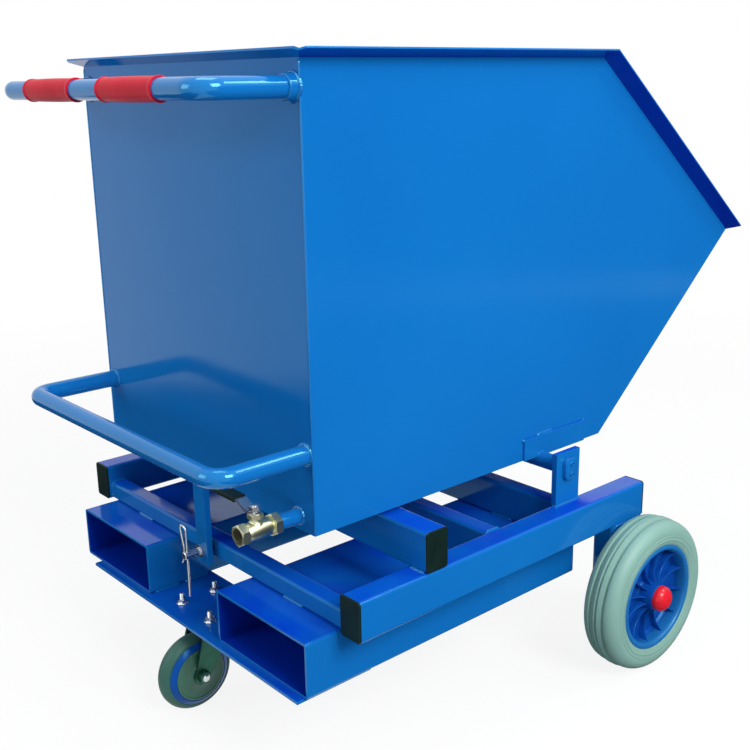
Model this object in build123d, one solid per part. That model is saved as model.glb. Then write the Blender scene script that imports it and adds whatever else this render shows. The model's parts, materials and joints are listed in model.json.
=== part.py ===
from build123d import *
import os
from math import atan2, cos, radians, sin, tan

# Tipping hopper on a wheeled chassis with fork pockets, in millimetres.
# X runs from the push handle to the pouring lip, Y across the rails, Z up from the ground.
# The model is laid out from the middle of the rails and moved at the end, so that the
# origin is on the ground under the middle of the whole object.

# Running clearances
running_fit = 0.05
sliding_gap = 0.3
bolt_fit = 0.5
cut_over = 1.0

# Castor
castor_head_height = 30.0
castor_wheel_diameter = 125.0
castor_wheel_width = 40.0
castor_trail = 40.0
castor_swivel_offset = 0.0
castor_plate_length = 85.0
castor_plate_width = 105.0
castor_plate_thickness = 4.5
castor_plate_corner = 8.0
castor_bolt_spacing_x = 60.0
castor_bolt_spacing_y = 80.0
castor_bolt_diameter = 8.0
castor_bolt_stand = 10.0
castor_crown_thickness = 5.0
castor_crown_drop = 6.5
castor_crown_radius = 33.0
castor_leg_thickness = 3.5
castor_leg_gap = 2.0
castor_leg_inset = 4.0
castor_leg_drop = 6.0
castor_axle_diameter = 12.0
castor_axle_stand = 3.0
castor_axle_tail = 1.0
castor_leg_end_radius = 14.0
castor_heel_forward = 11.2
castor_heel_down = 8.4
castor_tread_width = 26.0
castor_tread_depth = 14.0
castor_tread_drop = 6.0
castor_tread_edge = 8.0
castor_shoulder_drop = 7.5
castor_shoulder_slope = 11.0
castor_shoulder_edge = 1.0
castor_disc_radius = 43.0
castor_disc_thickness = 2.5
castor_hub_radius = 15.0
castor_hub_foot = 9.0
castor_hub_draft = 2.0
castor_cover_dish = 1.0
castor_bush_wall = 3.0
king_pin_diameter = 12.0
king_nut_flats = 19.0
king_nut_height = 9.0
thrust_ring_outer = 58.0
thrust_ring_inner = 40.0

# Hexagons, as shares of the thread they fit
hex_flats = 1.6
hex_head = 0.65
hex_nut = 0.8
axle_nut_flats = 1.5
axle_nut = 0.75

# Base plate under the pockets
base_plate_thickness = 5.0
base_plate_width = 130.0
base_plate_overhang = 12.0
base_plate_left_short = 46.0
base_plate_right_short = 8.0
base_plate_edge = 1.0

# Fork pockets
pocket_width = 213.0
pocket_height = 83.0
pocket_wall = 4.0
pocket_corner = 5.0
pocket_length = 556.0
pocket_rear_x = -362.0
pocket_rail_gap = 10.0

# Rails
rail_length = 622.0
rail_height = 60.0
rail_width = 40.0
rail_wall = 3.0
rail_corner = 5.0
rail_hopper_gap = 47.5
cap_thickness = 3.0
cap_plug_depth = 14.0
cap_edge = 1.0

# Cross tube that carries the back of the hopper
cross_tube_rear_x = -189.5
cross_tube_width = 40.0
cross_tube_height = 60.0
rest_pad_length = 60.0
rest_pad_width = 30.0
rest_pad_height = 5.0
rest_pad_spacing = 380.0
rest_pad_corner = 4.0

# Members between the rails
member_wall = 3.0
member_corner = 5.0
rear_member_gap = 8.0
rear_member_size = 30.0
middle_member_rear_x = -31.0
front_member_behind_pivot = 14.0
inner_member_width = 30.0

# Main wheels
wheel_diameter = 257.0
wheel_width = 60.0
rim_diameter = 178.0
rim_lip = 10.0
rim_side_inset = 3.0
rim_edge = 2.0
rim_edge_inner = 1.0
rim_web_thickness = 5.0
rim_web_offset = -2.0
rib_count = 12
rib_thickness = 2.4
rib_below_edge = 5.0
rib_below_hub = 9.0
rib_hollow = 8.0
rib_root = 1.0
rib_tip = 0.5
hub_diameter = 44.0
bush_wall = 4.0
groove_count = 3
groove_width = 3.0
groove_depth = 3.0
groove_pitch = 8.5
groove_inset = 9.0
tyre_outer_side = 18.0
tyre_shoulder_drop = 6.5
tyre_shoulder_inset = 7.0
tyre_outer_round = 24.0
tyre_outer_drop = 1.5
tyre_crown_drop = 0.3
tyre_crown_inset = 20.0
tyre_inner_round = 8.0
tyre_inner_drop = 2.5
tyre_heel_drop = 5.0
tyre_heel_inset = 2.5
tyre_inner_side = 26.0
wheel_leg_gap = 7.0
axle_diameter = 20.0
axle_ahead_of_leg = 2.0
axle_collar_radius = 16.0
axle_end = 4.5
axle_washer_thickness = 2.5
axle_washer_radius = 15.0
hub_cap_height = 17.0
hub_cap_wall = 2.5
hub_cap_inset = 1.0
hub_cap_crown = 0.65

# Legs that hold the stub axles
leg_width = 80.0
leg_thickness = 40.0
leg_wall = 4.0
leg_corner = 6.0
leg_below_axle = 28.5

# Hopper body
sheet = 3.0
hopper_width = 551.0
hopper_height = 611.0
floor_length = 610.0
chute_run = 359.0
chute_rise = 310.0
top_length = 583.0
rim_side_reach = 27.0
rim_back_reach = 20.0
rim_rise = 9.0
rim_corner_cut = 13.0

# Pivot
pivot_x = 147.0
pivot_above_floor = -6.0
lug_width = 56.0
lug_thickness = 10.0
lug_above_pivot = 27.0
pivot_bolt_diameter = 16.0
pivot_head_width = 28.0
pivot_head_length = 34.0
pivot_head_corner = 8.0
pivot_head_height = 7.0
pivot_bolt_end_gap = 3.2
boss_radius = 13.0
boss_tongue = 32.0
doubler_behind_pivot = 42.0
doubler_length = 150.0
doubler_height = 36.0
doubler_thickness = 4.0

# Push handle
handle_tube = 26.9
handle_wall = 2.6
handle_below_top = 33.5
handle_reach = 129.0
handle_leg_inset = 14.5
handle_bend = 25.0
collar_diameter = 33.0
collar_length = 15.0
collar_round = 2.0
grip_diameter = 32.0
grip_bend_gap = 59.5
grip_inner_y = 39.5
grip_bead = 1.0
grip_flange = 4.0
grip_flange_slope = 3.0
grip_end_length = 8.0
grip_end_round = 3.0
grip_end_rise = 0.7
grip_end_drop = 1.5

# Lower bar
lower_tube = 26.9
lower_wall = 2.6
lower_above_floor = 112.0
lower_reach = 140.0
lower_leg_inset = 15.5
lower_bend = 25.0

# Drain and ball valve
drain_side_inset = 35.5
drain_lift = 9.35
drain_stub_length = 35.0
drain_tube = 21.3
drain_wall = 2.6
valve_length = 64.0
valve_hex_length = 12.0
valve_outlet_flats = 27.0
valve_inlet_flats = 28.0
valve_wall = 2.2
valve_end_step = 1.0
valve_bore = 15.0
valve_thread_bore = 21.0
valve_thread_depth = 11.0
valve_socket_depth = 8.0
valve_ball_setback = 35.0
ball_diameter = 21.0
ball_bore = 14.0
seat_width = 3.0
seat_tuck = 1.0
bonnet_diameter = 16.0
bonnet_rise = 4.5
gland_flats = 19.0
gland_height = 7.0
stem_diameter = 8.0
stem_tang = 1.5
stem_stand = 1.0
lever_thickness = 3.0
lever_width = 16.0
lever_length = 108.0
lever_crank_start = 14.0
lever_crank_run = 14.0
lever_crank_rise = 8.0
lever_grip_start = 36.0
lever_grip_wall = 2.0
lever_grip_round = 1.6
lever_nut_flats = 14.0
lever_nut_height = 7.0

# Latch
latch_bar_width = 30.0
latch_bar_thickness = 10.0
latch_bar_below_pin = 23.0
latch_bar_lap = 12.0
latch_pin_diameter = 12.0
latch_pin_above_pocket = 15.0
latch_pin_back_off = 1.5
latch_pin_chamfer = 1.0
latch_travel = 18.0
latch_stop_gap = 0.5
latch_hole_diameter = 12.6
latch_bush_length = 6.0
latch_bush_radius = 10.0
clip_wire = 4.0
clip_from_end = 6.0
clip_leg_top = 46.0
clip_leg_bottom = 68.0
clip_loop_width = 17.0
clip_bend = 6.0
clip_toe_out = 6.0
clip_toe_down = 4.0

# Levels from the ground up
castor_height = castor_wheel_diameter + castor_head_height
base_plate_bottom = castor_height
pocket_bottom = base_plate_bottom + base_plate_thickness
pocket_top = pocket_bottom + pocket_height
rail_bottom = pocket_top
rail_top = rail_bottom + rail_height
cross_tube_top = rail_top + cross_tube_height
floor_level = cross_tube_top + rest_pad_height
hopper_top = floor_level + hopper_height
pivot_z = floor_level + pivot_above_floor
latch_z = pocket_top + latch_pin_above_pocket
drain_z = floor_level + drain_tube / 2 + drain_lift

# Places across and along
side_outer_y = hopper_width / 2
side_inner_y = side_outer_y - sheet
doubler_y = side_outer_y + doubler_thickness
rail_inner_y = side_outer_y + rail_hopper_gap
rail_outer_y = rail_inner_y + rail_width
rail_middle_y = rail_inner_y + rail_width / 2
rail_rear_x = -rail_length / 2
rail_front_x = rail_length / 2
hopper_back_x = rail_rear_x
rear_member_rear_x = hopper_back_x + rear_member_gap
front_member_rear_x = pivot_x - front_member_behind_pivot
pocket_outer_y = rail_inner_y - pocket_rail_gap
pocket_middle_y = pocket_outer_y - pocket_width / 2
base_plate_rear_x = pocket_rear_x - base_plate_overhang
castor_swivel_x = base_plate_rear_x + base_plate_width / 2 + castor_swivel_offset
castor_axle_x = castor_swivel_x - castor_trail
castor_axle_z = castor_wheel_diameter / 2
castor_leg_inner_y = castor_wheel_width / 2 + castor_leg_gap
lug_inner_y = rail_inner_y
lug_outer_y = lug_inner_y + lug_thickness
axle_x = rail_front_x - leg_width / 2 + axle_ahead_of_leg
axle_z = wheel_diameter / 2
wheel_inner_y = rail_outer_y + wheel_leg_gap
wheel_middle_y = wheel_inner_y + wheel_width / 2
wheel_outer_y = wheel_inner_y + wheel_width
handle_leg_y = side_outer_y - handle_leg_inset
lower_leg_y = side_outer_y - lower_leg_inset
drain_y = drain_side_inset - side_outer_y
valve_inlet_x = hopper_back_x - drain_stub_length
valve_outlet_x = valve_inlet_x - valve_length
valve_ball_x = valve_inlet_x - valve_ball_setback
ball_room = ball_diameter / 2 + sliding_gap
bonnet_height = ball_room + valve_wall + bonnet_rise
lever_bottom = bonnet_height + gland_height + sliding_gap
lever_top = lever_bottom + lever_thickness

nodes = {}


# Shape helpers
def block(x, y, z):
    """Box between three pairs of limits."""
    size = (x[1] - x[0], y[1] - y[0], z[1] - z[0])
    middle = ((x[0] + x[1]) / 2, (y[0] + y[1]) / 2, (z[0] + z[1]) / 2)
    return Pos(*middle) * Box(*size)


def rod(radius, start, end):
    """Round bar between two points."""
    axis = Vector(end) - Vector(start)
    return extrude(Plane(Vector(start), z_dir=axis) * Circle(radius), amount=axis.length)


def ring(outer, inner, start, end):
    """Round sleeve between two points."""
    axis = Vector(end) - Vector(start)
    face = Plane(Vector(start), z_dir=axis) * (Circle(outer) - Circle(inner))
    return extrude(face, amount=axis.length)


def hex_bar(flats, start, end, corner):
    """Six-sided bar between two points, with one corner pointing along a direction."""
    axis = Vector(end) - Vector(start)
    plane = Plane(Vector(start), x_dir=corner, z_dir=axis)
    return extrude(plane * RegularPolygon(flats / 2, 6, major_radius=False), amount=axis.length)


def turned(points, origin, axis, radial):
    """Solid turned about an axis from points given as distance out and distance along."""
    plane = Plane(Vector(origin), x_dir=radial, z_dir=Vector(radial).cross(Vector(axis)))
    face = plane * make_face(Polyline(*points, close=True))
    return revolve(face, axis=Axis(origin, axis))


def plate_xz(points, y):
    """Plate of one outline seen from the side, between two places across."""
    outline = make_face(Polyline(*[Vector(px, y[0], pz) for px, pz in points], close=True))
    return extrude(outline, amount=y[1] - y[0], dir=(0, 1, 0))


def tube_section(width, height, wall, corner):
    """Section of a rolled box tube."""
    inner = RectangleRounded(width - 2 * wall, height - 2 * wall, corner - wall)
    return RectangleRounded(width, height, corner) - inner


def tube_along_x(x, middle_y, middle_z, width, height, wall, corner):
    plane = Plane((x[0], middle_y, middle_z), x_dir=(0, 1, 0), z_dir=(1, 0, 0))
    return extrude(plane * tube_section(width, height, wall, corner), amount=x[1] - x[0])


def tube_along_y(middle_x, y, middle_z, width, height, wall, corner):
    plane = Plane((middle_x, y[0], middle_z), x_dir=(-1, 0, 0), z_dir=(0, 1, 0))
    return extrude(plane * tube_section(width, height, wall, corner), amount=y[1] - y[0])


def tube_along_z(middle_x, middle_y, z, width, height, wall, corner):
    plane = Plane((middle_x, middle_y, z[0]), x_dir=(1, 0, 0), z_dir=(0, 0, 1))
    return extrude(plane * tube_section(width, height, wall, corner), amount=z[1] - z[0])


def bent_rod(points, bend, radius):
    """Round bar along straight runs joined by bends."""
    path = FilletPolyline(*points, radius=bend)
    return sweep(Plane(path @ 0, z_dir=path % 0) * Circle(radius), path=path)


def far_side(part):
    """The same piece on the left of the object."""
    return mirror(part, about=Plane.XZ)


def both_sides(part):
    return [part, far_side(part)]


def group(parts):
    """Separate solids in one node."""
    return Compound([solid for part in parts for solid in part.solids()])


# Rails, their end caps and the cross tube
def make_rails():
    tube_x = (rail_rear_x + cap_thickness, rail_front_x - cap_thickness)
    rail_z = rail_bottom + rail_height / 2
    rail = tube_along_x(tube_x, -rail_middle_y, rail_z, rail_width, rail_height, rail_wall, rail_corner)
    nodes["rail_right"] = rail
    nodes["rail_left"] = far_side(rail)

    caps = []
    plug_size = (rail_width - 2 * rail_wall - sliding_gap, rail_height - 2 * rail_wall - sliding_gap)
    plug_corner = rail_corner - rail_wall
    for end_x, inward in ((tube_x[0], 1), (tube_x[1], -1)):
        outside = Plane((end_x, -rail_middle_y, rail_z), x_dir=(0, 1, 0), z_dir=(-inward, 0, 0))
        inside = Plane((end_x, -rail_middle_y, rail_z), x_dir=(0, 1, 0), z_dir=(inward, 0, 0))
        head = extrude(outside * RectangleRounded(rail_width, rail_height, rail_corner), amount=cap_thickness)
        plug = extrude(inside * RectangleRounded(*plug_size, plug_corner), amount=cap_plug_depth)
        face = head.faces().sort_by(Axis.X)[0 if inward > 0 else -1]
        caps += both_sides(fillet(face.edges(), cap_edge) + plug)
    nodes["rail_caps"] = group(caps)


def make_cross_tube():
    middle_x = cross_tube_rear_x + cross_tube_width / 2
    middle_z = rail_top + cross_tube_height / 2
    end_y = rail_outer_y - cap_thickness
    size = (cross_tube_width, cross_tube_height)
    nodes["cross_tube"] = tube_along_y(middle_x, (-end_y, end_y), middle_z, *size, rail_wall, rail_corner)

    outside = Plane((middle_x, -end_y, middle_z), x_dir=(1, 0, 0), z_dir=(0, -1, 0))
    inside = Plane((middle_x, -end_y, middle_z), x_dir=(1, 0, 0), z_dir=(0, 1, 0))
    plug_size = (size[0] - 2 * rail_wall - sliding_gap, size[1] - 2 * rail_wall - sliding_gap)
    head = extrude(outside * RectangleRounded(*size, rail_corner), amount=cap_thickness)
    plug = extrude(inside * RectangleRounded(*plug_size, rail_corner - rail_wall), amount=cap_plug_depth)
    cap = fillet(head.faces().sort_by(Axis.Y)[0].edges(), cap_edge) + plug
    nodes["cross_tube_caps"] = group(both_sides(cap))

    pad_y = rest_pad_spacing / 2
    pad = block((middle_x - rest_pad_width / 2, middle_x + rest_pad_width / 2),
                (-pad_y - rest_pad_length / 2, -pad_y + rest_pad_length / 2),
                (cross_tube_top, floor_level - sliding_gap))
    nodes["rest_pads"] = group(both_sides(fillet(pad.edges().filter_by(Axis.Z), rest_pad_corner)))


# Fork pockets, the members that tie them to the rails, and the base plate
def make_pockets():
    pocket = tube_along_x((pocket_rear_x, pocket_rear_x + pocket_length), -pocket_middle_y,
                          pocket_bottom + pocket_height / 2,
                          pocket_width, pocket_height, pocket_wall, pocket_corner)
    nodes["fork_pocket_right"] = pocket
    nodes["fork_pocket_left"] = far_side(pocket)


def make_members():
    across = (-rail_inner_y, rail_inner_y)
    rear_x = rear_member_rear_x + rear_member_size / 2
    rear_z = pocket_top + rear_member_size / 2
    size = (rear_member_size, rear_member_size)
    rear = tube_along_y(rear_x, across, rear_z, *size, member_wall, member_corner)
    hole = rod(latch_hole_diameter / 2, (rear_member_rear_x - cut_over, 0, latch_z),
               (rear_member_rear_x + member_wall + cut_over, 0, latch_z))
    nodes["rear_member"] = rear - hole
    for name, start_x in (("middle_member", middle_member_rear_x), ("front_member", front_member_rear_x)):
        nodes[name] = tube_along_y(start_x + inner_member_width / 2, across, rail_bottom + rail_height / 2,
                                   inner_member_width, rail_height, member_wall, member_corner)


def castor_bolt_places():
    half_x = castor_bolt_spacing_x / 2
    half_y = castor_bolt_spacing_y / 2
    return [(castor_swivel_x + sx * half_x, sy * half_y) for sx in (-1, 1) for sy in (-1, 1)]


def drill_castor_holes(part, z):
    radius = (castor_bolt_diameter + bolt_fit) / 2
    for bolt_x, bolt_y in castor_bolt_places():
        part -= rod(radius, (bolt_x, bolt_y, z[0] - cut_over), (bolt_x, bolt_y, z[1] + cut_over))
    return part


def make_base_plate():
    level = (base_plate_bottom, base_plate_bottom + base_plate_thickness)
    plate = block((base_plate_rear_x, base_plate_rear_x + base_plate_width),
                  (base_plate_right_short - pocket_outer_y, pocket_outer_y - base_plate_left_short), level)
    plate = fillet(plate.edges().filter_by(Axis.Y), base_plate_edge)
    nodes["castor_base_plate"] = drill_castor_holes(plate, level)


# Lugs on the rails and the legs that hold the wheels
def make_lugs():
    lug = block((pivot_x - lug_width / 2, pivot_x + lug_width / 2), (-lug_outer_y, -lug_inner_y),
                (rail_top, pivot_z + lug_above_pivot))
    lug -= rod(pivot_bolt_diameter / 2 + running_fit, (pivot_x, -lug_outer_y - cut_over, pivot_z),
               (pivot_x, -lug_inner_y + cut_over, pivot_z))
    nodes["pivot_lugs"] = group(both_sides(lug))


def make_legs():
    bottom = axle_z - leg_below_axle
    middle_x = rail_front_x - leg_width / 2
    middle_y = rail_outer_y - leg_thickness / 2
    leg = tube_along_z(middle_x, -middle_y, (bottom + leg_wall, rail_bottom), leg_width, leg_thickness,
                       leg_wall, leg_corner)
    sole = Plane((middle_x, -middle_y, bottom), x_dir=(1, 0, 0), z_dir=(0, 0, 1))
    leg += extrude(sole * RectangleRounded(leg_width, leg_thickness, leg_corner), amount=leg_wall)
    bore = rod(axle_diameter / 2, (axle_x, -rail_outer_y - cut_over, axle_z),
               (axle_x, -rail_outer_y + leg_thickness + cut_over, axle_z))
    leg -= bore
    nodes["wheel_legs"] = group(both_sides(leg))


def make_axles():
    inner_y = rail_outer_y - leg_thickness
    axle = rod(axle_diameter / 2, (axle_x, -inner_y, axle_z), (axle_x, -wheel_outer_y - axle_end, axle_z))
    axle += rod(axle_collar_radius, (axle_x, -rail_outer_y, axle_z),
                (axle_x, -wheel_inner_y + sliding_gap, axle_z))
    nodes["stub_axles"] = group(both_sides(axle))
    washer_y = wheel_outer_y + sliding_gap
    washer = ring(axle_washer_radius, axle_diameter / 2, (axle_x, -washer_y, axle_z),
                  (axle_x, -washer_y - axle_washer_thickness, axle_z))
    nodes["axle_washers"] = group(both_sides(washer))


# Main wheels
def tyre_profile():
    """Half section of the tyre, as distance out and distance outboard of the wheel's middle."""
    half = wheel_width / 2
    out = wheel_diameter / 2
    seat = rim_diameter / 2
    bead = half - rim_side_inset
    outer_side = (seat + tyre_outer_side, half)
    outer_shoulder = (out - tyre_shoulder_drop, half - tyre_shoulder_inset)
    outer_tread = (out - tyre_outer_drop, half - tyre_outer_round)
    crown = (out, -half + tyre_crown_inset)
    tread_middle = (out - tyre_crown_drop, (outer_tread[1] + crown[1]) / 2)
    inner_tread = (out - tyre_inner_drop, -half + tyre_inner_round)
    inner_heel = (out - tyre_heel_drop, -half + tyre_heel_inset)
    inner_side = (seat + tyre_inner_side, -half)
    sides = Line((seat, bead), outer_side)
    sides += ThreePointArc(outer_side, outer_shoulder, outer_tread)
    sides += ThreePointArc(outer_tread, tread_middle, crown)
    sides += Line(crown, inner_tread)
    sides += ThreePointArc(inner_tread, inner_heel, inner_side)
    sides += Line(inner_side, (seat, -bead))
    sides += Line((seat, -bead), (seat, bead))
    return make_face(sides)


def make_tyre(centre):
    plane = Plane(Vector(centre), x_dir=(1, 0, 0), z_dir=Vector(1, 0, 0).cross(Vector(0, -1, 0)))
    tyre = revolve(plane * tyre_profile(), axis=Axis(centre, (0, -1, 0)))
    out = wheel_diameter / 2
    for step in range(groove_count):
        middle = groove_inset - wheel_width / 2 + step * groove_pitch
        near, far = middle - groove_width / 2, middle + groove_width / 2
        floor, open_end = out - groove_depth, out + cut_over
        tyre -= turned([(floor, near), (open_end, near), (open_end, far), (floor, far)],
                       centre, (0, -1, 0), (1, 0, 0))
    return tyre


def rim_rib(centre, turn):
    """One radial rib between the hub and the rim barrel, with a hollow top edge."""
    inner = hub_diameter / 2 - rib_root
    outer = rim_diameter / 2 - rim_lip + rib_tip
    foot = rim_web_offset + rim_web_thickness
    at_hub = wheel_width / 2 - rib_below_hub
    at_rim = wheel_width / 2 - rim_side_inset - rib_below_edge
    middle = ((inner + outer) / 2, min(at_hub, at_rim) - rib_hollow)
    edges = ThreePointArc((inner, at_hub), middle, (outer, at_rim))
    edges += Polyline((outer, at_rim), (outer, foot), (inner, foot), (inner, at_hub))
    radial = Vector(cos(radians(turn)), 0, sin(radians(turn)))
    plane = Plane(Vector(centre), x_dir=radial, z_dir=radial.cross(Vector(0, -1, 0)))
    return extrude(plane * make_face(edges), amount=rib_thickness / 2, both=True)


def make_rim(centre):
    half = wheel_width / 2
    seat = rim_diameter / 2
    bead = half - rim_side_inset
    barrel = seat - rim_lip
    web = rim_web_offset
    hub = hub_diameter / 2
    bore = axle_diameter / 2 + running_fit + bush_wall
    web_top = web + rim_web_thickness
    edge = bead + rim_edge
    rim = turned([(bore, -half), (hub, -half), (hub, web), (barrel, web), (barrel, -bead), (seat, -bead),
                  (seat, bead), (seat - rim_edge, edge), (barrel + rim_edge_inner, edge), (barrel, bead),
                  (barrel, web_top), (hub, web_top), (hub, half), (bore, half)],
                 centre, (0, -1, 0), (1, 0, 0))
    for step in range(rib_count):
        rim += rim_rib(centre, step * 360 / rib_count)
    return rim


def dome(radius, height):
    """Round cap on the wheel's outer face, straight at its foot and rounded above."""
    crown = hub_cap_crown * height
    ball = (radius * radius + crown * crown) / (2 * crown)
    post = rod(radius, (axle_x, -wheel_outer_y, axle_z), (axle_x, -wheel_outer_y - 2 * height, axle_z))
    return post & Pos(axle_x, -wheel_outer_y - height + ball, axle_z) * Sphere(ball)


def make_wheels():
    centre = (axle_x, -wheel_middle_y, axle_z)
    bore = axle_diameter / 2 + running_fit
    bush = ring(bore + bush_wall, bore, (axle_x, -wheel_inner_y, axle_z), (axle_x, -wheel_outer_y, axle_z))
    radius = hub_diameter / 2 - hub_cap_inset
    cap = dome(radius, hub_cap_height) - dome(radius - hub_cap_wall, hub_cap_height - hub_cap_wall)
    for name, piece in (("tyre", make_tyre(centre)), ("wheel_rim", make_rim(centre)),
                        ("hub_bush", bush), ("hub_cap", cap)):
        nodes[name + "_right"] = piece
        nodes[name + "_left"] = far_side(piece)


# Castor
def make_castor_head():
    plate_top = castor_height
    plate_bottom = plate_top - castor_plate_thickness
    plate = block((castor_swivel_x - castor_plate_length / 2, castor_swivel_x + castor_plate_length / 2),
                  (-castor_plate_width / 2, castor_plate_width / 2), (plate_bottom, plate_top))
    plate = fillet(plate.edges().filter_by(Axis.Z), castor_plate_corner)
    plate -= rod(king_pin_diameter / 2, (castor_swivel_x, 0, plate_bottom - cut_over),
                 (castor_swivel_x, 0, plate_top + cut_over))
    nodes["castor_top_plate"] = drill_castor_holes(plate, (plate_bottom, plate_top))

    crown_top = plate_bottom - castor_crown_drop
    nodes["castor_thrust_ring"] = ring(thrust_ring_outer / 2, thrust_ring_inner / 2,
                                       (castor_swivel_x, 0, crown_top + sliding_gap),
                                       (castor_swivel_x, 0, plate_bottom))
    crown_bottom = crown_top - castor_crown_thickness
    pin_foot = (castor_swivel_x, 0, crown_bottom - king_nut_height)
    pin = rod(king_pin_diameter / 2, pin_foot, (castor_swivel_x, 0, plate_top))
    pin += hex_bar(king_nut_flats, pin_foot, (castor_swivel_x, 0, crown_bottom - sliding_gap), (1, 0, 0))
    nodes["castor_king_pin"] = pin

    bolts = []
    nuts = []
    radius = castor_bolt_diameter / 2
    plate_stack = base_plate_bottom + base_plate_thickness
    nut_top = plate_stack + hex_nut * castor_bolt_diameter
    flats = hex_flats * castor_bolt_diameter
    head_bottom = plate_bottom - hex_head * castor_bolt_diameter
    for bolt_x, bolt_y in castor_bolt_places():
        shank_top = nut_top + castor_bolt_stand
        bolt = rod(radius, (bolt_x, bolt_y, plate_bottom), (bolt_x, bolt_y, shank_top))
        bolt += hex_bar(flats, (bolt_x, bolt_y, head_bottom), (bolt_x, bolt_y, plate_bottom), (1, 0, 0))
        nut = hex_bar(flats, (bolt_x, bolt_y, plate_stack), (bolt_x, bolt_y, nut_top), (1, 0, 0))
        nut -= rod(radius + running_fit, (bolt_x, bolt_y, plate_stack - cut_over),
                   (bolt_x, bolt_y, nut_top + cut_over))
        bolts.append(bolt)
        nuts.append(nut)
    nodes["castor_bolts"] = group(bolts)
    nodes["castor_nuts"] = group(nuts)


def make_castor_fork():
    crown_top = castor_height - castor_plate_thickness - castor_crown_drop
    crown_bottom = crown_top - castor_crown_thickness
    inner_y = castor_leg_inner_y
    outer_y = inner_y + castor_leg_thickness
    reach = castor_crown_radius - castor_leg_inset
    rear_x = castor_swivel_x - reach
    front_x = castor_swivel_x + reach
    crown = rod(castor_crown_radius, (castor_swivel_x, 0, crown_bottom), (castor_swivel_x, 0, crown_top))
    crown -= rod(king_pin_diameter / 2 + sliding_gap, (castor_swivel_x, 0, crown_bottom - cut_over),
                 (castor_swivel_x, 0, crown_top + cut_over))
    end = castor_leg_end_radius
    heel = (castor_axle_x + castor_heel_forward, castor_axle_z - castor_heel_down)
    leg = plate_xz([(rear_x, crown_top), (front_x, crown_top), (front_x, crown_bottom - castor_leg_drop),
                    heel, (castor_axle_x - end, castor_axle_z)], (-outer_y, -inner_y))
    leg += rod(end, (castor_axle_x, -outer_y, castor_axle_z), (castor_axle_x, -inner_y, castor_axle_z))
    leg -= rod(castor_axle_diameter / 2, (castor_axle_x, -outer_y - cut_over, castor_axle_z),
               (castor_axle_x, -inner_y + cut_over, castor_axle_z))
    nodes["castor_fork"] = crown + leg + far_side(leg)

    flats = axle_nut_flats * castor_axle_diameter
    nut_end = outer_y + axle_nut * castor_axle_diameter
    axle = rod(castor_axle_diameter / 2, (castor_axle_x, -nut_end - castor_axle_stand, castor_axle_z),
               (castor_axle_x, outer_y + castor_axle_tail, castor_axle_z))
    for start_y, end_y in ((outer_y, nut_end), (-nut_end, -outer_y)):
        axle += hex_bar(flats, (castor_axle_x, start_y, castor_axle_z),
                        (castor_axle_x, end_y, castor_axle_z), (0, 0, 1))
    nodes["castor_axle"] = axle


def make_castor_wheel():
    centre = (castor_axle_x, 0, castor_axle_z)
    along = ((0, 1, 0), (1, 0, 0))
    out = castor_wheel_diameter / 2
    tread = castor_tread_width / 2
    seat = out - castor_tread_depth
    edge = tread - castor_tread_edge
    corner = out - castor_tread_drop
    nodes["castor_tyre"] = turned([(seat, -tread), (corner, -tread), (out, -edge), (out, edge),
                                   (corner, tread), (seat, tread)], centre, *along)
    half = castor_wheel_width / 2
    shoulder = out - castor_shoulder_drop
    disc = castor_disc_radius
    recess = half - castor_disc_thickness
    bore = castor_axle_diameter / 2 + running_fit + castor_bush_wall
    side = [(disc, half), (shoulder - castor_shoulder_slope, half), (shoulder, tread + castor_shoulder_edge),
            (shoulder, tread), (seat, tread)]
    core = [(bore, recess), (disc, recess)] + side
    core += [(out_r, -t) for out_r, t in reversed(core)]
    nodes["castor_core"] = turned(core, centre, *along)
    hub_y = half + castor_leg_gap - 2 * sliding_gap
    cover = turned([(bore, recess), (disc - sliding_gap, recess), (disc - sliding_gap, half),
                    (castor_hub_radius + castor_hub_foot, half - castor_cover_dish),
                    (castor_hub_radius + castor_hub_draft, hub_y), (bore, hub_y)], centre, *along)
    nodes["castor_covers"] = group(both_sides(cover))
    nodes["castor_bush"] = ring(bore, castor_axle_diameter / 2 + running_fit,
                                (castor_axle_x, -hub_y, castor_axle_z), (castor_axle_x, hub_y, castor_axle_z))


# Hopper sheets
def chute_angle():
    return atan2(chute_rise, chute_run)


def hopper_outline():
    """Side view of the hopper's outside, from the back bottom corner round to the back top corner."""
    knee_x = hopper_back_x + floor_length
    return [(hopper_back_x, floor_level), (knee_x, floor_level),
            (knee_x + chute_run, floor_level + chute_rise),
            (hopper_back_x + top_length, hopper_top), (hopper_back_x, hopper_top)]


def rim_section(reach):
    """Folded rim, as distance outside the sheet and height over its edge."""
    angle = atan2(rim_rise, reach)
    inner_top = sheet * (cos(angle) - tan(angle) * (1 - sin(angle)))
    return [(-sheet, 0), (0, 0), (reach, rim_rise),
            (reach - sheet * sin(angle), rim_rise + sheet * cos(angle)), (-sheet, inner_top)]


def rim_run(start_points, end_points):
    """Straight stretch of rim between two end sections."""
    ends = [make_face(Polyline(*points, close=True)) for points in (start_points, end_points)]
    return loft(ends, ruled=True)


def corner_cutter():
    """Prism that takes the point off the rim's back corner."""
    tip_x = hopper_back_x - rim_back_reach
    tip_y = -side_outer_y - rim_side_reach
    cut = rim_corner_cut
    far_x, far_y = tip_x - cut_over, tip_y - cut_over
    points = [(far_x, far_y), (tip_x + cut, far_y), (tip_x + cut, tip_y), (tip_x, tip_y + cut),
              (far_x, tip_y + cut)]
    low = hopper_top - cut_over
    outline = make_face(Polyline(*[Vector(px, py, low) for px, py in points], close=True))
    return extrude(outline, amount=rim_rise + 2 * sheet + 2 * cut_over, dir=(0, 0, 1))


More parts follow.
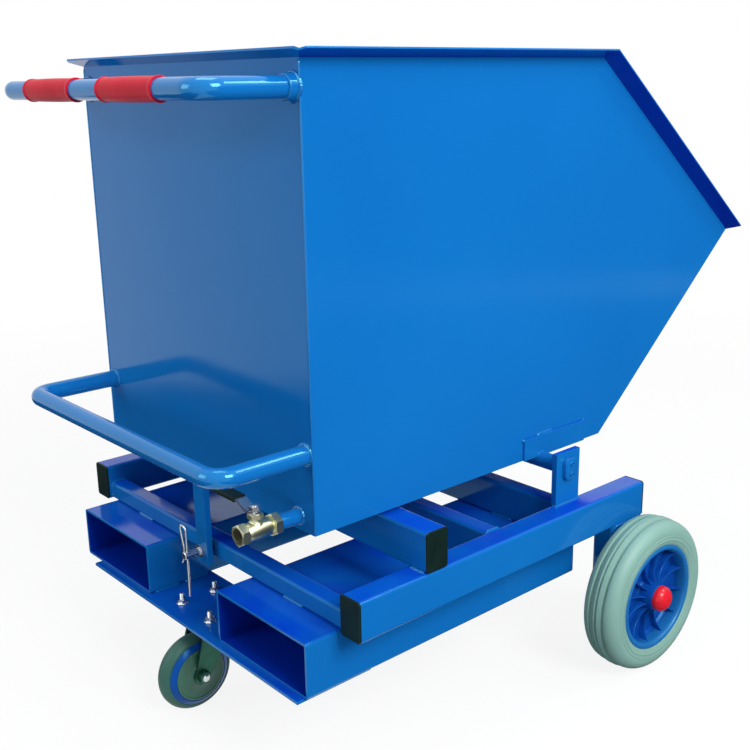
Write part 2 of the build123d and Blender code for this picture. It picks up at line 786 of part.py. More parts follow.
def slope_direction():
    """Direction square to the sloping edge of the mouth, pointing out of the hopper."""
    lip, top_front = hopper_outline()[2:4]
    slope = atan2(top_front[1] - lip[1], lip[0] - top_front[0])
    return (sin(slope), cos(slope))


def make_hopper_sides():
    outline = hopper_outline()
    side = plate_xz(outline, (-side_outer_y, -side_inner_y))
    section = rim_section(rim_side_reach)
    lip, top_front = outline[2], outline[3]
    slope_out = slope_direction()
    mitre = 1 / (1 + slope_out[1])
    mitre_out = (slope_out[0] * mitre, (1 + slope_out[1]) * mitre)

    back_end = [Vector(hopper_back_x - y * rim_back_reach / rim_side_reach, -side_outer_y - y, hopper_top + z)
                for y, z in section]
    knuckle = [Vector(top_front[0] + z * mitre_out[0], -side_outer_y - y, top_front[1] + z * mitre_out[1])
               for y, z in section]
    lip_end = [Vector(lip[0] + z * slope_out[0], -side_outer_y - y, lip[1] + z * slope_out[1])
               for y, z in section]
    side += rim_run(back_end, knuckle)
    side += rim_run(knuckle, lip_end)
    side -= corner_cutter()
    nodes["hopper_side_right"] = side
    nodes["hopper_side_left"] = far_side(side)


def make_hopper_sheets():
    outline = hopper_outline()
    inside = (-side_inner_y, side_inner_y)
    knee, lip = outline[1], outline[2]
    angle = chute_angle()
    inner_knee = (knee[0] - sheet * tan(angle / 2), knee[1] + sheet)
    inner_lip = (lip[0] - sheet * sin(angle), lip[1] + sheet * cos(angle))
    front_of_back = hopper_back_x + sheet
    nodes["hopper_floor"] = plate_xz([(front_of_back, floor_level), knee, inner_knee,
                                      (front_of_back, floor_level + sheet)], inside)
    nodes["hopper_chute"] = plate_xz([knee, lip, inner_lip, inner_knee], inside)

    back = block((hopper_back_x, front_of_back), inside, (floor_level, hopper_top))
    section = rim_section(rim_back_reach)
    corner = [Vector(hopper_back_x - x, -side_outer_y - x * rim_side_reach / rim_back_reach, hopper_top + z)
              for x, z in section]
    middle = [Vector(hopper_back_x - x, 0, hopper_top + z) for x, z in section]
    half_rim = rim_run(corner, middle) - corner_cutter()
    back += half_rim + far_side(half_rim)
    back -= rod(drain_tube / 2, on_drain(hopper_back_x - cut_over), on_drain(front_of_back + cut_over))
    nodes["hopper_back"] = back


# Pivot pieces on the hopper
def make_pivot():
    doubler_rear_x = pivot_x - doubler_behind_pivot
    doubler = block((doubler_rear_x, doubler_rear_x + doubler_length), (-doubler_y, -side_outer_y),
                    (floor_level, floor_level + doubler_height))
    nodes["pivot_doublers"] = group(both_sides(doubler))

    end_y = lug_inner_y - sliding_gap
    boss = rod(boss_radius, (pivot_x, -end_y, pivot_z), (pivot_x, -doubler_y + boss_tongue, pivot_z))
    around = boss_radius + cut_over
    boss -= block((pivot_x - around, pivot_x + around), (-doubler_y, -doubler_y + boss_tongue + cut_over),
                  (floor_level, pivot_z + around))
    bolt_end_y = doubler_y + pivot_bolt_end_gap
    boss -= rod(pivot_bolt_diameter / 2, (pivot_x, -end_y - cut_over, pivot_z),
                (pivot_x, -bolt_end_y, pivot_z))
    nodes["pivot_bosses"] = group(both_sides(boss))

    head_y = lug_outer_y + sliding_gap
    bolt = rod(pivot_bolt_diameter / 2, (pivot_x, -bolt_end_y, pivot_z), (pivot_x, -head_y, pivot_z))
    seat = Plane((pivot_x, -head_y, pivot_z), x_dir=(1, 0, 0), z_dir=(0, -1, 0))
    head = extrude(seat * RectangleRounded(pivot_head_width, pivot_head_length, pivot_head_corner),
                   amount=pivot_head_height)
    nodes["pivot_bolts"] = group(both_sides(bolt + head))


# Push handle and lower bar
def u_tube(level, reach, leg_y, bend, diameter, wall):
    points = [(hopper_back_x, -leg_y, level), (hopper_back_x - reach, -leg_y, level),
              (hopper_back_x - reach, leg_y, level), (hopper_back_x, leg_y, level)]
    return bent_rod(points, bend, diameter / 2) - bent_rod(points, bend, diameter / 2 - wall)


def make_handle():
    level = hopper_top - handle_below_top
    nodes["push_handle"] = u_tube(level, handle_reach, handle_leg_y, handle_bend, handle_tube, handle_wall)
    tube = handle_tube / 2
    collar = ring(collar_diameter / 2, tube, (hopper_back_x - collar_length, -handle_leg_y, level),
                  (hopper_back_x, -handle_leg_y, level))
    collar = fillet(collar.edges().sort_by(Axis.X)[0:2].sort_by(SortBy.RADIUS)[-1:], collar_round)
    nodes["handle_collars"] = group(both_sides(collar))

    radius = grip_diameter / 2
    waist = radius - grip_bead
    length = handle_leg_y - handle_bend - grip_bend_gap - grip_inner_y
    along = [(tube, 0), (radius, 0), (radius, grip_flange), (waist, grip_flange + grip_flange_slope),
             (waist, length - grip_end_length), (waist + grip_end_rise, length - grip_end_round),
             (radius - grip_end_drop, length), (tube, length)]
    grip = turned(along, (hopper_back_x - handle_reach, -grip_inner_y, level), (0, -1, 0), (1, 0, 0))
    nodes["grips"] = group(both_sides(grip))

    nodes["lower_bar"] = u_tube(floor_level + lower_above_floor, lower_reach, lower_leg_y, lower_bend,
                                lower_tube, lower_wall)


# Drain stub and ball valve
def on_drain(x):
    return (x, drain_y, drain_z)


def over_ball(up):
    return (valve_ball_x, drain_y, drain_z + up)


def make_drain():
    stub_end = valve_inlet_x - valve_socket_depth
    nodes["drain_stub"] = ring(drain_tube / 2, drain_tube / 2 - drain_wall, on_drain(stub_end),
                               on_drain(hopper_back_x + sheet))


def make_valve():
    socket_x = valve_inlet_x - valve_socket_depth
    inlet_hex_x = valve_inlet_x - valve_hex_length
    outlet_hex_x = valve_outlet_x + valve_hex_length
    past_outlet = valve_outlet_x - cut_over
    past_inlet = valve_inlet_x + cut_over
    seat_end = ball_room + seat_width - seat_tuck
    body = rod(ball_room + valve_wall, on_drain(valve_outlet_x + valve_end_step),
               on_drain(valve_inlet_x - valve_end_step))
    body += hex_bar(valve_outlet_flats, on_drain(valve_outlet_x), on_drain(outlet_hex_x), (0, 0, 1))
    body += hex_bar(valve_inlet_flats, on_drain(inlet_hex_x), on_drain(valve_inlet_x), (0, 0, 1))
    body += rod(bonnet_diameter / 2, over_ball(0), over_ball(bonnet_height))
    body -= rod(valve_bore / 2, on_drain(past_outlet), on_drain(past_inlet))
    body -= rod(valve_thread_bore / 2, on_drain(past_outlet), on_drain(valve_outlet_x + valve_thread_depth))
    body -= rod(drain_tube / 2 + running_fit, on_drain(socket_x), on_drain(past_inlet))
    body -= rod(ball_room, on_drain(valve_ball_x - seat_end), on_drain(valve_ball_x + seat_end))
    body -= rod(stem_diameter / 2 + running_fit, over_ball(0), over_ball(bonnet_height + cut_over))
    nodes["valve_body"] = body

    ball_space = Pos(*over_ball(0)) * Rotation(0, 90, 0) * Sphere(ball_room)
    seats = []
    for hand in (-1, 1):
        start_x = valve_ball_x + hand * (seat_end - 2 * seat_width)
        end_x = valve_ball_x + hand * seat_end
        seat = ring(ball_room - running_fit, valve_bore / 2, on_drain(start_x), on_drain(end_x))
        seats.append(seat - ball_space)
    nodes["valve_seats"] = group(seats)

    ball = Pos(*over_ball(0)) * Sphere(ball_diameter / 2)
    drill_y = (drain_y - ball_diameter, drain_y + ball_diameter)
    ball -= rod(ball_bore / 2, (valve_ball_x, drill_y[0], drain_z), (valve_ball_x, drill_y[1], drain_z))
    stem_foot = ball_diameter / 2 - stem_tang
    ball -= rod(stem_diameter / 2, over_ball(stem_foot), over_ball(ball_diameter))
    nodes["valve_ball"] = ball
    nodes["valve_stem"] = rod(stem_diameter / 2, over_ball(stem_foot),
                              over_ball(lever_top + lever_nut_height + stem_stand))

    gland_top = bonnet_height + gland_height
    gland = hex_bar(gland_flats, over_ball(bonnet_height), over_ball(gland_top), (0, 1, 0))
    gland -= rod(stem_diameter / 2 + running_fit, over_ball(bonnet_height - cut_over),
                 over_ball(gland_top + cut_over))
    nodes["valve_gland_nut"] = gland


def lever_strip(thickness, width, start, end):
    """Cranked flat strip from the stem outward, between two places along its length."""
    low = lever_bottom + lever_thickness / 2
    high = low + lever_crank_rise
    bends = [(0, low), (lever_crank_start, low), (lever_crank_start + lever_crank_run, high),
             (lever_length, high)]
    centre = Polyline(*[(drain_y + run, drain_z + up) for run, up in bends])
    band = trace(centre, line_width=thickness)
    plane = Plane((valve_ball_x - width / 2, 0, 0), x_dir=(0, 1, 0), z_dir=(1, 0, 0))
    strip = extrude(plane * band, amount=width)
    return strip & block((valve_ball_x - width, valve_ball_x + width), (drain_y + start, drain_y + end),
                         (drain_z, drain_z + 2 * (lever_top + lever_crank_rise)))


def make_lever():
    lever = lever_strip(lever_thickness, lever_width, 0, lever_length)
    lever += rod(lever_width / 2, over_ball(lever_bottom), over_ball(lever_top))
    lever -= rod(stem_diameter / 2, over_ball(0), over_ball(2 * lever_top))
    nodes["valve_lever"] = lever
    wall = lever_grip_wall
    sleeve = lever_strip(lever_thickness + 2 * wall, lever_width + 2 * wall, lever_grip_start, lever_length)
    half = lever_width / 2 + wall
    end_z = drain_z + lever_crank_rise
    end = block((valve_ball_x - half, valve_ball_x + half),
                (drain_y + lever_length, drain_y + lever_length + wall),
                (end_z + lever_bottom - wall, end_z + lever_top + wall))
    sleeve = fillet((sleeve + end).edges().filter_by(Axis.Y), lever_grip_round)
    nodes["lever_sleeve"] = sleeve - lever_strip(lever_thickness, lever_width, 0, lever_length)
    nut = hex_bar(lever_nut_flats, over_ball(lever_top), over_ball(lever_top + lever_nut_height), (0, 1, 0))
    nut -= rod(stem_diameter / 2, over_ball(0), over_ball(2 * lever_top))
    nodes["lever_nut"] = nut


# Latch that holds the hopper down
def make_latch():
    bar_front = hopper_back_x
    bar_rear = hopper_back_x - latch_bar_thickness
    bar = block((bar_rear, bar_front), (-latch_bar_width / 2, latch_bar_width / 2),
                (latch_z - latch_bar_below_pin, floor_level + latch_bar_lap))
    bore = latch_pin_diameter / 2 + running_fit
    bar -= rod(bore, (bar_rear - cut_over, 0, latch_z), (bar_front + cut_over, 0, latch_z))
    nodes["latch_bar"] = bar
    bush_end = bar_rear - latch_bush_length
    nodes["latch_bush"] = ring(latch_bush_radius, bore, (bush_end, 0, latch_z), (bar_rear, 0, latch_z))

    tip = rear_member_rear_x - latch_pin_back_off
    clip_x = bush_end - latch_travel - latch_stop_gap - clip_wire / 2
    pin = rod(latch_pin_diameter / 2, (clip_x - clip_from_end, 0, latch_z), (tip, 0, latch_z))
    pin = chamfer(pin.edges().filter_by(GeomType.CIRCLE), latch_pin_chamfer)
    pin -= rod(clip_wire / 2 + running_fit, (clip_x, 0, latch_z - latch_pin_diameter),
               (clip_x, 0, latch_z + latch_pin_diameter))
    nodes["latch_pin"] = pin

    side = latch_pin_diameter / 2 + clip_wire / 2 + sliding_gap
    route = [(0, -clip_leg_bottom), (0, clip_leg_top), (clip_loop_width, clip_leg_top),
             (side, latch_pin_diameter), (side, -latch_pin_diameter / 2),
             (side + clip_toe_out, -latch_pin_diameter - clip_toe_down)]
    points = [(clip_x, across, latch_z + up) for across, up in route]
    nodes["spring_clip"] = bent_rod(points, clip_bend, clip_wire / 2)


def make_all():
    make_rails()
    make_cross_tube()
    make_pockets()
    make_members()
    make_base_plate()
    make_lugs()
    make_legs()
    make_axles()
    make_wheels()
    make_castor_head()
    make_castor_fork()
    make_castor_wheel()
    make_hopper_sides()
    make_hopper_sheets()
    make_pivot()
    make_handle()
    make_drain()
    make_valve()
    make_lever()
    make_latch()


def middle_x():
    """Middle of the object's length, between the rearmost bar and the rim's front corner."""
    rear = hopper_back_x - max(handle_reach + grip_diameter / 2, lower_reach + lower_tube / 2)
    rim_top = max(height for out, height in rim_section(rim_side_reach))
    front = hopper_outline()[2][0] + rim_top * slope_direction()[0]
    return (rear + front) / 2


# Build, move to the shared origin and write one file for each piece
make_all()
to_origin = Pos(-middle_x(), 0, 0)
os.makedirs("parts", exist_ok=True)
for name, piece in nodes.items():
    export_step(to_origin * piece, "parts/" + name + ".step")
print(len(nodes), "nodes moved by", -middle_x())
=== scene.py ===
import bmesh
import bpy
import json
import random
from bpy.props import FloatProperty, FloatVectorProperty, PointerProperty
from math import ceil, cos, pi, radians, sin, tan, tau
from mathutils import Matrix, Quaternion, Vector


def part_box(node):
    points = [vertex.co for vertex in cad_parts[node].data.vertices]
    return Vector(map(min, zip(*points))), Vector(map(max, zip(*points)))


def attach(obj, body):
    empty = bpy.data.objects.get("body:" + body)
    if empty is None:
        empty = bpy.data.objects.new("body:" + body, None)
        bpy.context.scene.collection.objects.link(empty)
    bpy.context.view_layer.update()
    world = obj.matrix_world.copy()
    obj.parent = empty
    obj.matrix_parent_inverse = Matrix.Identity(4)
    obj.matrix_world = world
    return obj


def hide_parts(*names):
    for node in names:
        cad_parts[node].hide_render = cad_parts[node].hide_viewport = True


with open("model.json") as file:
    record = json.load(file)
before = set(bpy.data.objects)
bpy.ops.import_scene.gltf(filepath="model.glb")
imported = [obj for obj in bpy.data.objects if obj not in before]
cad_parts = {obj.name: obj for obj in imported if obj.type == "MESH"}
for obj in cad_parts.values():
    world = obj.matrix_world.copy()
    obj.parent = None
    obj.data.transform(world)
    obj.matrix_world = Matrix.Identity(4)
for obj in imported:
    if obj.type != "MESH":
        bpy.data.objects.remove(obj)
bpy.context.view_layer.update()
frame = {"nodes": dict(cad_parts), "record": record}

bl_info = {
    "name": "Tipping hopper looks",
    "version": (1, 0, 0),
    "blender": (4, 5, 0),
    "location": "3D View > Sidebar > Hopper",
    "description": "Paint, welds, wheels, valve and small parts of a tipping hopper on its frame",
    "category": "Object",
}

# Shapes are worked out in millimetres and scaled once, when a piece is finished
MM = 0.001
X_AXIS = Vector((1, 0, 0))
Y_AXIS = Vector((0, 1, 0))
Z_AXIS = Vector((0, 0, 1))
MERGE = 0.001
WELD_SEED = 7
# Face attribute that marks the faces which take painted shade: inside the pockets and under the side rims
SHADE_MARK = "inside"

# Sizes that the frame's boxes don't give
SHEET = 3.0
POCKET_SKIN = 3.0
RIB_COUNT = 12
HUB_RADIUS = 22.0
GROOVE_COUNT = 3
GROOVE_FIRST = 9.0
GROOVE_PITCH = 12.0
TREAD_FALL = 0.13
GRIP_INNER_Y = 39.5
BOLT_SHANK = 4.0
BOLT_FLATS = 12.8
BOLT_PITCH = 1.25
PIVOT_SHANK = 7.95
PIVOT_SHANK_LENGTH = 50.0
PIVOT_HEAD_GAP = 0.3
PIVOT_CORNER = 8.0
PIVOT_EDGE = 1.6
PIVOT_SCREW_RISE = 8.5
VALVE_HEX_LENGTH = 12.0
VALVE_OUTLET_FLATS = 27.0
VALVE_INLET_FLATS = 28.0
VALVE_NECK = 11.9
VALVE_BORE = 7.5
VALVE_THREAD = 10.5
VALVE_RIDGES = 6
VALVE_PITCH = 1.5
BONNET_RISE = 9.0
STEM_HOLE = 4.1
CASTOR_DISC = 43.0
CASTOR_SHOULDER = 10.5
CASTOR_AXLE = 6.0
CASTOR_LEG = 25.5
CASTOR_RUBBER = 14.0

# Facets of round pieces
WHEEL_STEPS = 120
CASTOR_STEPS = 96
CAP_STEPS = 64
GRIP_STEPS = 56
VALVE_STEPS = 56
THREAD_STEPS = 48
HEXAGON_STEPS = 48
SHAFT_STEPS = 40
RING_STEPS = 40
WASHER_STEPS = 36
SCREW_STEPS = 28

# Paint: share of the painted shade on the frame's faces that look up, level of the painted shade on marked
# faces, and the tint of the paint's gloss
PAINTED_SHADE_SHARE = 0.95
SHADE_LEVEL = 0.7
GLOSS_TINT = (0.3, 0.95, 1.0, 1.0)


# Sizes and colours that a user would change
class HopperPaintSettings(bpy.types.PropertyGroup):
    blue: FloatVectorProperty(
        name="Paint", description="Colour of the gloss paint on the steel", subtype="COLOR",
        size=4, min=0, max=1, default=(0.005, 0.158, 0.50, 1))
    deep_blue: FloatVectorProperty(
        name="Thick paint", description="Colour of the paint where it lies thicker", subtype="COLOR",
        size=4, min=0, max=1, default=(0.004, 0.138, 0.46, 1))
    # Painted shade: deep blue mixed into the paint on the frame's faces that look up, inside the pockets
    # and under the side rims
    shaded_blue: FloatVectorProperty(
        name="Shaded paint", description="Colour of paint pooled on the frame, in pockets and under rims",
        subtype="COLOR", size=4, min=0, max=1, default=(0.001, 0.044, 0.58, 1))
    gloss: FloatProperty(
        name="Roughness", description="Roughness of the paint where it is smoothest", subtype="FACTOR",
        min=0, max=1, default=0.08)
    sheet_edge: FloatProperty(
        name="Sheet edge", description="Rounding of cut sheet and plate edges", unit="LENGTH",
        default=0.8 * MM)
    tube_edge: FloatProperty(
        name="Tube edge", description="Rounding of sawn tube ends", unit="LENGTH", default=0.6 * MM)


class HopperTrimSettings(bpy.types.PropertyGroup):
    grip_red: FloatVectorProperty(
        name="Grips", description="Colour of the soft hand grips", subtype="COLOR",
        size=4, min=0, max=1, default=(0.62, 0.006, 0.028, 1))
    cap_red: FloatVectorProperty(
        name="Hub caps", description="Colour of the hub caps", subtype="COLOR",
        size=4, min=0, max=1, default=(0.76, 0.016, 0.030, 1))
    tyre_grey: FloatVectorProperty(
        name="Tyres", description="Colour of the main wheels' tyres", subtype="COLOR",
        size=4, min=0, max=1, default=(0.235, 0.43, 0.37, 1))
    # The rims' web and the castor's core take a darker blue as painted shade, and the flanges a lighter
    # copy of the same blue as painted light
    rim_blue: FloatVectorProperty(
        name="Rims", description="Colour of the moulded wheel rims", subtype="COLOR",
        size=4, min=0, max=1, default=(0.003, 0.070, 0.38, 1))
    flange_blue: FloatVectorProperty(
        name="Flanges", description="Colour of the rims' rounded flanges", subtype="COLOR",
        size=4, min=0, max=1, default=(0.012, 0.16, 0.46, 1))
    castor_grey: FloatVectorProperty(
        name="Castor tread", description="Colour of the castor's tread", subtype="COLOR",
        size=4, min=0, max=1, default=(0.022, 0.115, 0.085, 1))
    cover_grey: FloatVectorProperty(
        name="Castor covers", description="Colour of the castor's covers and fork", subtype="COLOR",
        size=4, min=0, max=1, default=(0.035, 0.16, 0.105, 1))
    black: FloatVectorProperty(
        name="Black trim", description="Colour of the end caps and the lever sleeve", subtype="COLOR",
        size=4, min=0, max=1, default=(0.004, 0.014, 0.011, 1))
    zinc: FloatVectorProperty(
        name="Zinc", description="Colour of plated fasteners, pins and plates", subtype="COLOR",
        size=4, min=0, max=1, default=(0.70, 0.73, 0.75, 1))
    nickel: FloatVectorProperty(
        name="Valve", description="Colour of the plated valve body", subtype="COLOR",
        size=4, min=0, max=1, default=(0.66, 0.67, 0.44, 1))
    seat_white: FloatVectorProperty(
        name="Valve seats", description="Colour of the valve's seat rings", subtype="COLOR",
        size=4, min=0, max=1, default=(0.80, 0.80, 0.78, 1))


class HopperWeldSettings(bpy.types.PropertyGroup):
    frame_bead: FloatProperty(
        name="Frame beads", description="Radius of the beads on the frame", unit="LENGTH",
        default=2.6 * MM)
    tube_bead: FloatProperty(
        name="Tube beads", description="Radius of the ring beads round tubes", unit="LENGTH",
        default=2.8 * MM)
    seam_bead: FloatProperty(
        name="Seam beads", description="Radius of the beads along the sheet corners", unit="LENGTH",
        default=2.2 * MM)
    ripple: FloatProperty(
        name="Ripple", description="Length of one ripple as a share of the bead's radius", default=1.6)
    ripple_depth: FloatProperty(
        name="Ripple depth", description="How far ripples swell the bead", subtype="FACTOR",
        min=0, max=1, default=0.22)
    stitch: FloatProperty(
        name="Stitch", description="Length of one stitch weld", unit="LENGTH", default=45 * MM)


class HopperStageSettings(bpy.types.PropertyGroup):
    camera_place: FloatVectorProperty(
        name="Camera", description="Place of the camera", subtype="TRANSLATION", unit="LENGTH",
        default=(-1.1909, -1.2972, 0.9503))
    camera_turn: FloatProperty(
        name="Turn", description="Turn of the view from straight ahead towards the lip", subtype="ANGLE",
        default=radians(41.04))
    camera_tilt: FloatProperty(
        name="Tilt", description="How far the view looks down", subtype="ANGLE", default=radians(15.68))
    camera_roll: FloatProperty(
        name="Roll", description="Lean of the picture", subtype="ANGLE", default=radians(-1.0))
    lens: FloatProperty(
        name="Lens", description="Focal length on a 36 mm frame, in millimetres", default=50.27)
    world_level: FloatProperty(
        name="World", description="Level of the light from all round", default=0.40)
    key_power: FloatProperty(
        name="Key lamp", description="Power of the lamp on the near side", unit="POWER", default=100)
    rear_power: FloatProperty(
        name="Rear lamp", description="Power of the lamp behind the handle", unit="POWER", default=29)
    top_power: FloatProperty(
        name="Top lamp", description="Power of the lamp overhead", unit="POWER", default=24)
    edge_power: FloatProperty(
        name="Edge lamp", description="Power of the small lamp that glints on tubes", unit="POWER",
        default=18)
    floor_glow: FloatProperty(
        name="Floor glow", description="Share of plain white in the floor near the hopper",
        subtype="FACTOR", min=0, max=1, default=0.88)


# Mesh helpers
def box_mm(node):
    """Low and high corner of a node."""
    low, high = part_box(node)
    return low / MM, high / MM


def turn(bm, profile, centre, axis, steps):
    """Spins a closed profile, given as distance out and distance along the axis, into a round piece."""
    radial = axis.orthogonal().normalized()
    verts = [bm.verts.new(centre + radial * out + axis * along) for out, along in profile]
    edges = [bm.edges.new(pair) for pair in zip(verts, verts[1:] + verts[:1])]
    bmesh.ops.spin(bm, geom=verts + edges, cent=centre, axis=axis, angle=tau, steps=steps,
                   use_merge=True, use_duplicate=False)


def wrap(bm, rows, closed=False):
    """Bends a grid over rows of points, each row a loop, and closes the ends or the run."""
    rows = rows + rows[:1] if closed else rows
    long, wide = len(rows) - 1, len(rows[0])
    grid = bmesh.ops.create_grid(bm, x_segments=long, y_segments=wide, size=1)["verts"]
    for vert in grid:
        row = rows[round((vert.co.x + 1) / 2 * long)]
        vert.co = row[round((vert.co.y + 1) / 2 * wide) % wide]
    bmesh.ops.remove_doubles(bm, verts=grid, dist=MERGE)
    if not closed:
        bmesh.ops.holes_fill(bm, edges=[e for e in bm.edges if e.is_boundary])


def sweep(bm, section, stations, closed=False):
    """Carries a closed section along stations, each a matrix."""
    wrap(bm, [[station @ point for point in section] for station in stations], closed)


def along_path(points, step, closed=False):
    """Evenly spaced places and directions along a run of points."""
    corners = points + points[:1] if closed else points
    places = []
    for start, end in zip(corners, corners[1:]):
        count = max(1, ceil((end - start).length / step))
        places += [start.lerp(end, n / count) for n in range(count)]
    if not closed:
        places.append(corners[-1])
    last = len(places) - 1
    found = []
    for n, place in enumerate(places):
        ahead = places[(n + 1) % len(places)] if closed or n < last else place
        behind = places[n - 1] if closed or n > 0 else place
        found.append((place, (ahead - behind).normalized()))
    return found


def frames_along(found, scales):
    """Matrices that carry a section along places and directions without twisting it."""
    heading = found[0][1]
    turned = heading.to_track_quat("Z", "Y")
    matrices = []
    for (place, direction), scale in zip(found, scales):
        turned = heading.rotation_difference(direction) @ turned
        heading = direction
        matrices.append(Matrix.LocRotScale(place, turned, Vector((scale, scale, 1))))
    return matrices


def circle_points(centre, axis, radius, count, start=0.0, whole=tau):
    """Points on a circle, or on an arc of it, about an axis."""
    radial = (Z_AXIS if abs(axis.dot(Z_AXIS)) < 0.9 else X_AXIS) * radius
    return [centre + Quaternion(axis, start + whole * n / count) @ radial for n in range(count)]


def arc_profile(start, through, end, count):
    """Points of a round stretch of profile between two points, passing through a third."""
    (ax, ay), (bx, by), (cx, cy) = start, through, end
    scale = 2 * (ax * (by - cy) + bx * (cy - ay) + cx * (ay - by))
    a2, b2, c2 = ax * ax + ay * ay, bx * bx + by * by, cx * cx + cy * cy
    centre = Vector(((a2 * (by - cy) + b2 * (cy - ay) + c2 * (ay - by)) / scale,
                     (a2 * (cx - bx) + b2 * (ax - cx) + c2 * (bx - ax)) / scale))
    first = Vector(start) - centre
    half = first.angle_signed(Vector(through) - centre)
    whole = half + (Vector(through) - centre).angle_signed(Vector(end) - centre)
    return [tuple(centre + Matrix.Rotation(-whole * n / count, 2) @ first) for n in range(count + 1)]


def mirror_profile(half):
    """A profile's outboard half and its mirror image."""
    return half + [(out, -along) for out, along in reversed(half)]


def hexagon(bm, foot, axis, corner, flats, height, bore=0.0):
    """Hexagon with turned corners, standing on a foot along an axis, solid or with a round bore."""
    turned_share = 0.98
    side = axis.cross(corner)
    inner = flats / 2 * turned_share
    rows = [[], [], [], [], [], []]
    for step in range(HEXAGON_STEPS):
        angle = tau * step / HEXAGON_STEPS
        away = corner * cos(angle) + side * sin(angle)
        out = flats / 2 / cos(angle % (pi / 3) - pi / 6)
        drop = (out - inner) * tan(pi / 6)
        levels = ((bore, 0), (inner, 0), (out, drop), (out, height - drop), (inner, height), (bore, height))
        for row, (radius, up) in zip(rows, levels):
            row.append(foot + away * radius + axis * up)
    wrap(bm, rows if bore else rows[1:-1], closed=bool(bore))


def rounded_outline(wide, high, corner):
    """Outline of a rectangle with round corners, as distances across and up."""
    points, parts = [], 6
    for quarter, (side, up) in enumerate(((1, 1), (-1, 1), (-1, -1), (1, -1))):
        for step in range(parts + 1):
            angle = (quarter + step / parts) * pi / 2
            points.append((side * (wide / 2 - corner) + corner * cos(angle),
                           up * (high / 2 - corner) + corner * sin(angle)))
    return points


def soften(bm, width):
    """Rounds every sharp edge."""
    sharp = [e for e in bm.edges if e.is_manifold and e.calc_face_angle() > radians(30)]
    bmesh.ops.bevel(bm, geom=sharp, offset=width, offset_type="OFFSET", affect="EDGES", segments=3,
                    profile=0.5, material=-1, clamp_overlap=True)


def finish_piece(name, bm, finish, body, replaced=(), even=False):
    """Makes an object of a mesh, which rides on a body."""
    bmesh.ops.remove_doubles(bm, verts=bm.verts, dist=MERGE)
    bmesh.ops.scale(bm, vec=(MM, MM, MM), verts=bm.verts)
    bmesh.ops.recalc_face_normals(bm, faces=bm.faces)
    mesh = bpy.data.meshes.new(name)
    bm.to_mesh(mesh)
    bm.free()
    mesh.materials.append(finish_of(finish))
    mesh.shade_smooth()
    mesh.set_sharp_from_angle(angle=radians(40))
    piece = bpy.data.objects.new(name, mesh)
    bpy.context.scene.collection.objects.link(piece)
    if even:
        piece.modifiers.new("even_normals", "WEIGHTED_NORMAL").keep_sharp = True
    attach(piece, body)
    if replaced:
        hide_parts(*replaced)


def turned_piece(name, turns, steps, finish, body, replaced=()):
    """Piece of one or more round shapes, each given by its profile, its centre and its axis."""
    bm = bmesh.new()
    for profile, centre, axis in turns:
        turn(bm, profile, centre, axis, steps)
    finish_piece(name, bm, finish, body, replaced)


def body_of_node(node):
    """The body that a node belongs to."""
    for body, members in frame["record"]["behaviour"]["bodies"].items():
        if node in members:
            return body
    raise ValueError("no body holds " + node)


def inside_pocket(node):
    """Test for the faces inside a pocket's tube, which runs along X; these take painted shade."""
    low, high = box_mm(node)
    middle, half = (low + high) / 2, (high - low) / 2

    def test(face):
        away = face.calc_center_median() - middle
        within = abs(away.y) < half.y - POCKET_SKIN and abs(away.z) < half.z - POCKET_SKIN
        return within and abs(face.normal.x) < 0.5
    return test


def under_rim():
    """Test for the undersides of the side sheets' folded rims, which take painted shade."""
    outside = abs(box_mm("hopper_floor")[0].y) + SHEET

    def test(face):
        return abs(face.calc_center_median().y) > outside and face.normal.z < -0.5
    return test


def rounded_copy(node, finish, width, shaded=None):
    """The node's own shape with its sharp edges rounded, and with the faces that take painted shade marked
    by a test.
    """
    bm = bmesh.new()
    bm.from_mesh(frame["nodes"][node].data)
    bmesh.ops.scale(bm, vec=(1 / MM, 1 / MM, 1 / MM), verts=bm.verts)
    bmesh.ops.remove_doubles(bm, verts=bm.verts, dist=MERGE)
    bmesh.ops.dissolve_limit(bm, angle_limit=radians(1), verts=bm.verts, edges=bm.edges)
    soften(bm, width)
    if shaded:
        bm.normal_update()
        layer = bm.faces.layers.float.new(SHADE_MARK)
        for face in bm.faces:
            face[layer] = float(shaded(face))
    finish_piece(node + "_edged", bm, finish, body_of_node(node), (node,), even=True)


# Shader helpers
def put(tree, kind, inputs=None, **settings):
    """Adds a node, with its settings and its inputs, which are values or sockets to link."""
    made = tree.nodes.new(kind)
    for name, value in settings.items():
        setattr(made, name, value)
    for name, value in (inputs or {}).items():
        if isinstance(value, bpy.types.NodeSocket):
            tree.links.new(value, made.inputs[name])
        else:
            made.inputs[name].default_value = value
    return made


def maths(tree, operation, first, second=0.0):
    """Arithmetic on two values or sockets."""
    return put(tree, "ShaderNodeMath", {0: first, 1: second}, operation=operation).outputs[0]


def ranged(tree, value, low, high, new_low=0.0, new_high=1.0):
    """Maps a range of values to another."""
    made = put(tree, "ShaderNodeMapRange", {"Value": value, "From Min": low, "From Max": high,
                                            "To Min": new_low, "To Max": new_high})
    return made.outputs["Result"]


def noise(tree, scale, detail=2.0, vector=None):
    """Noise over the piece's own coordinates, or over others."""
    vector = vector or put(tree, "ShaderNodeTexCoord").outputs["Object"]
    made = put(tree, "ShaderNodeTexNoise", {"Vector": vector, "Scale": scale, "Detail": detail})
    return made.outputs["Fac"]


def mix_colour(tree, factor, first, second):
    """Mix of two colours; the sockets are counted, since their names repeat."""
    return put(tree, "ShaderNodeMix", {0: factor, 6: first, 7: second}, data_type="RGBA").outputs[2]


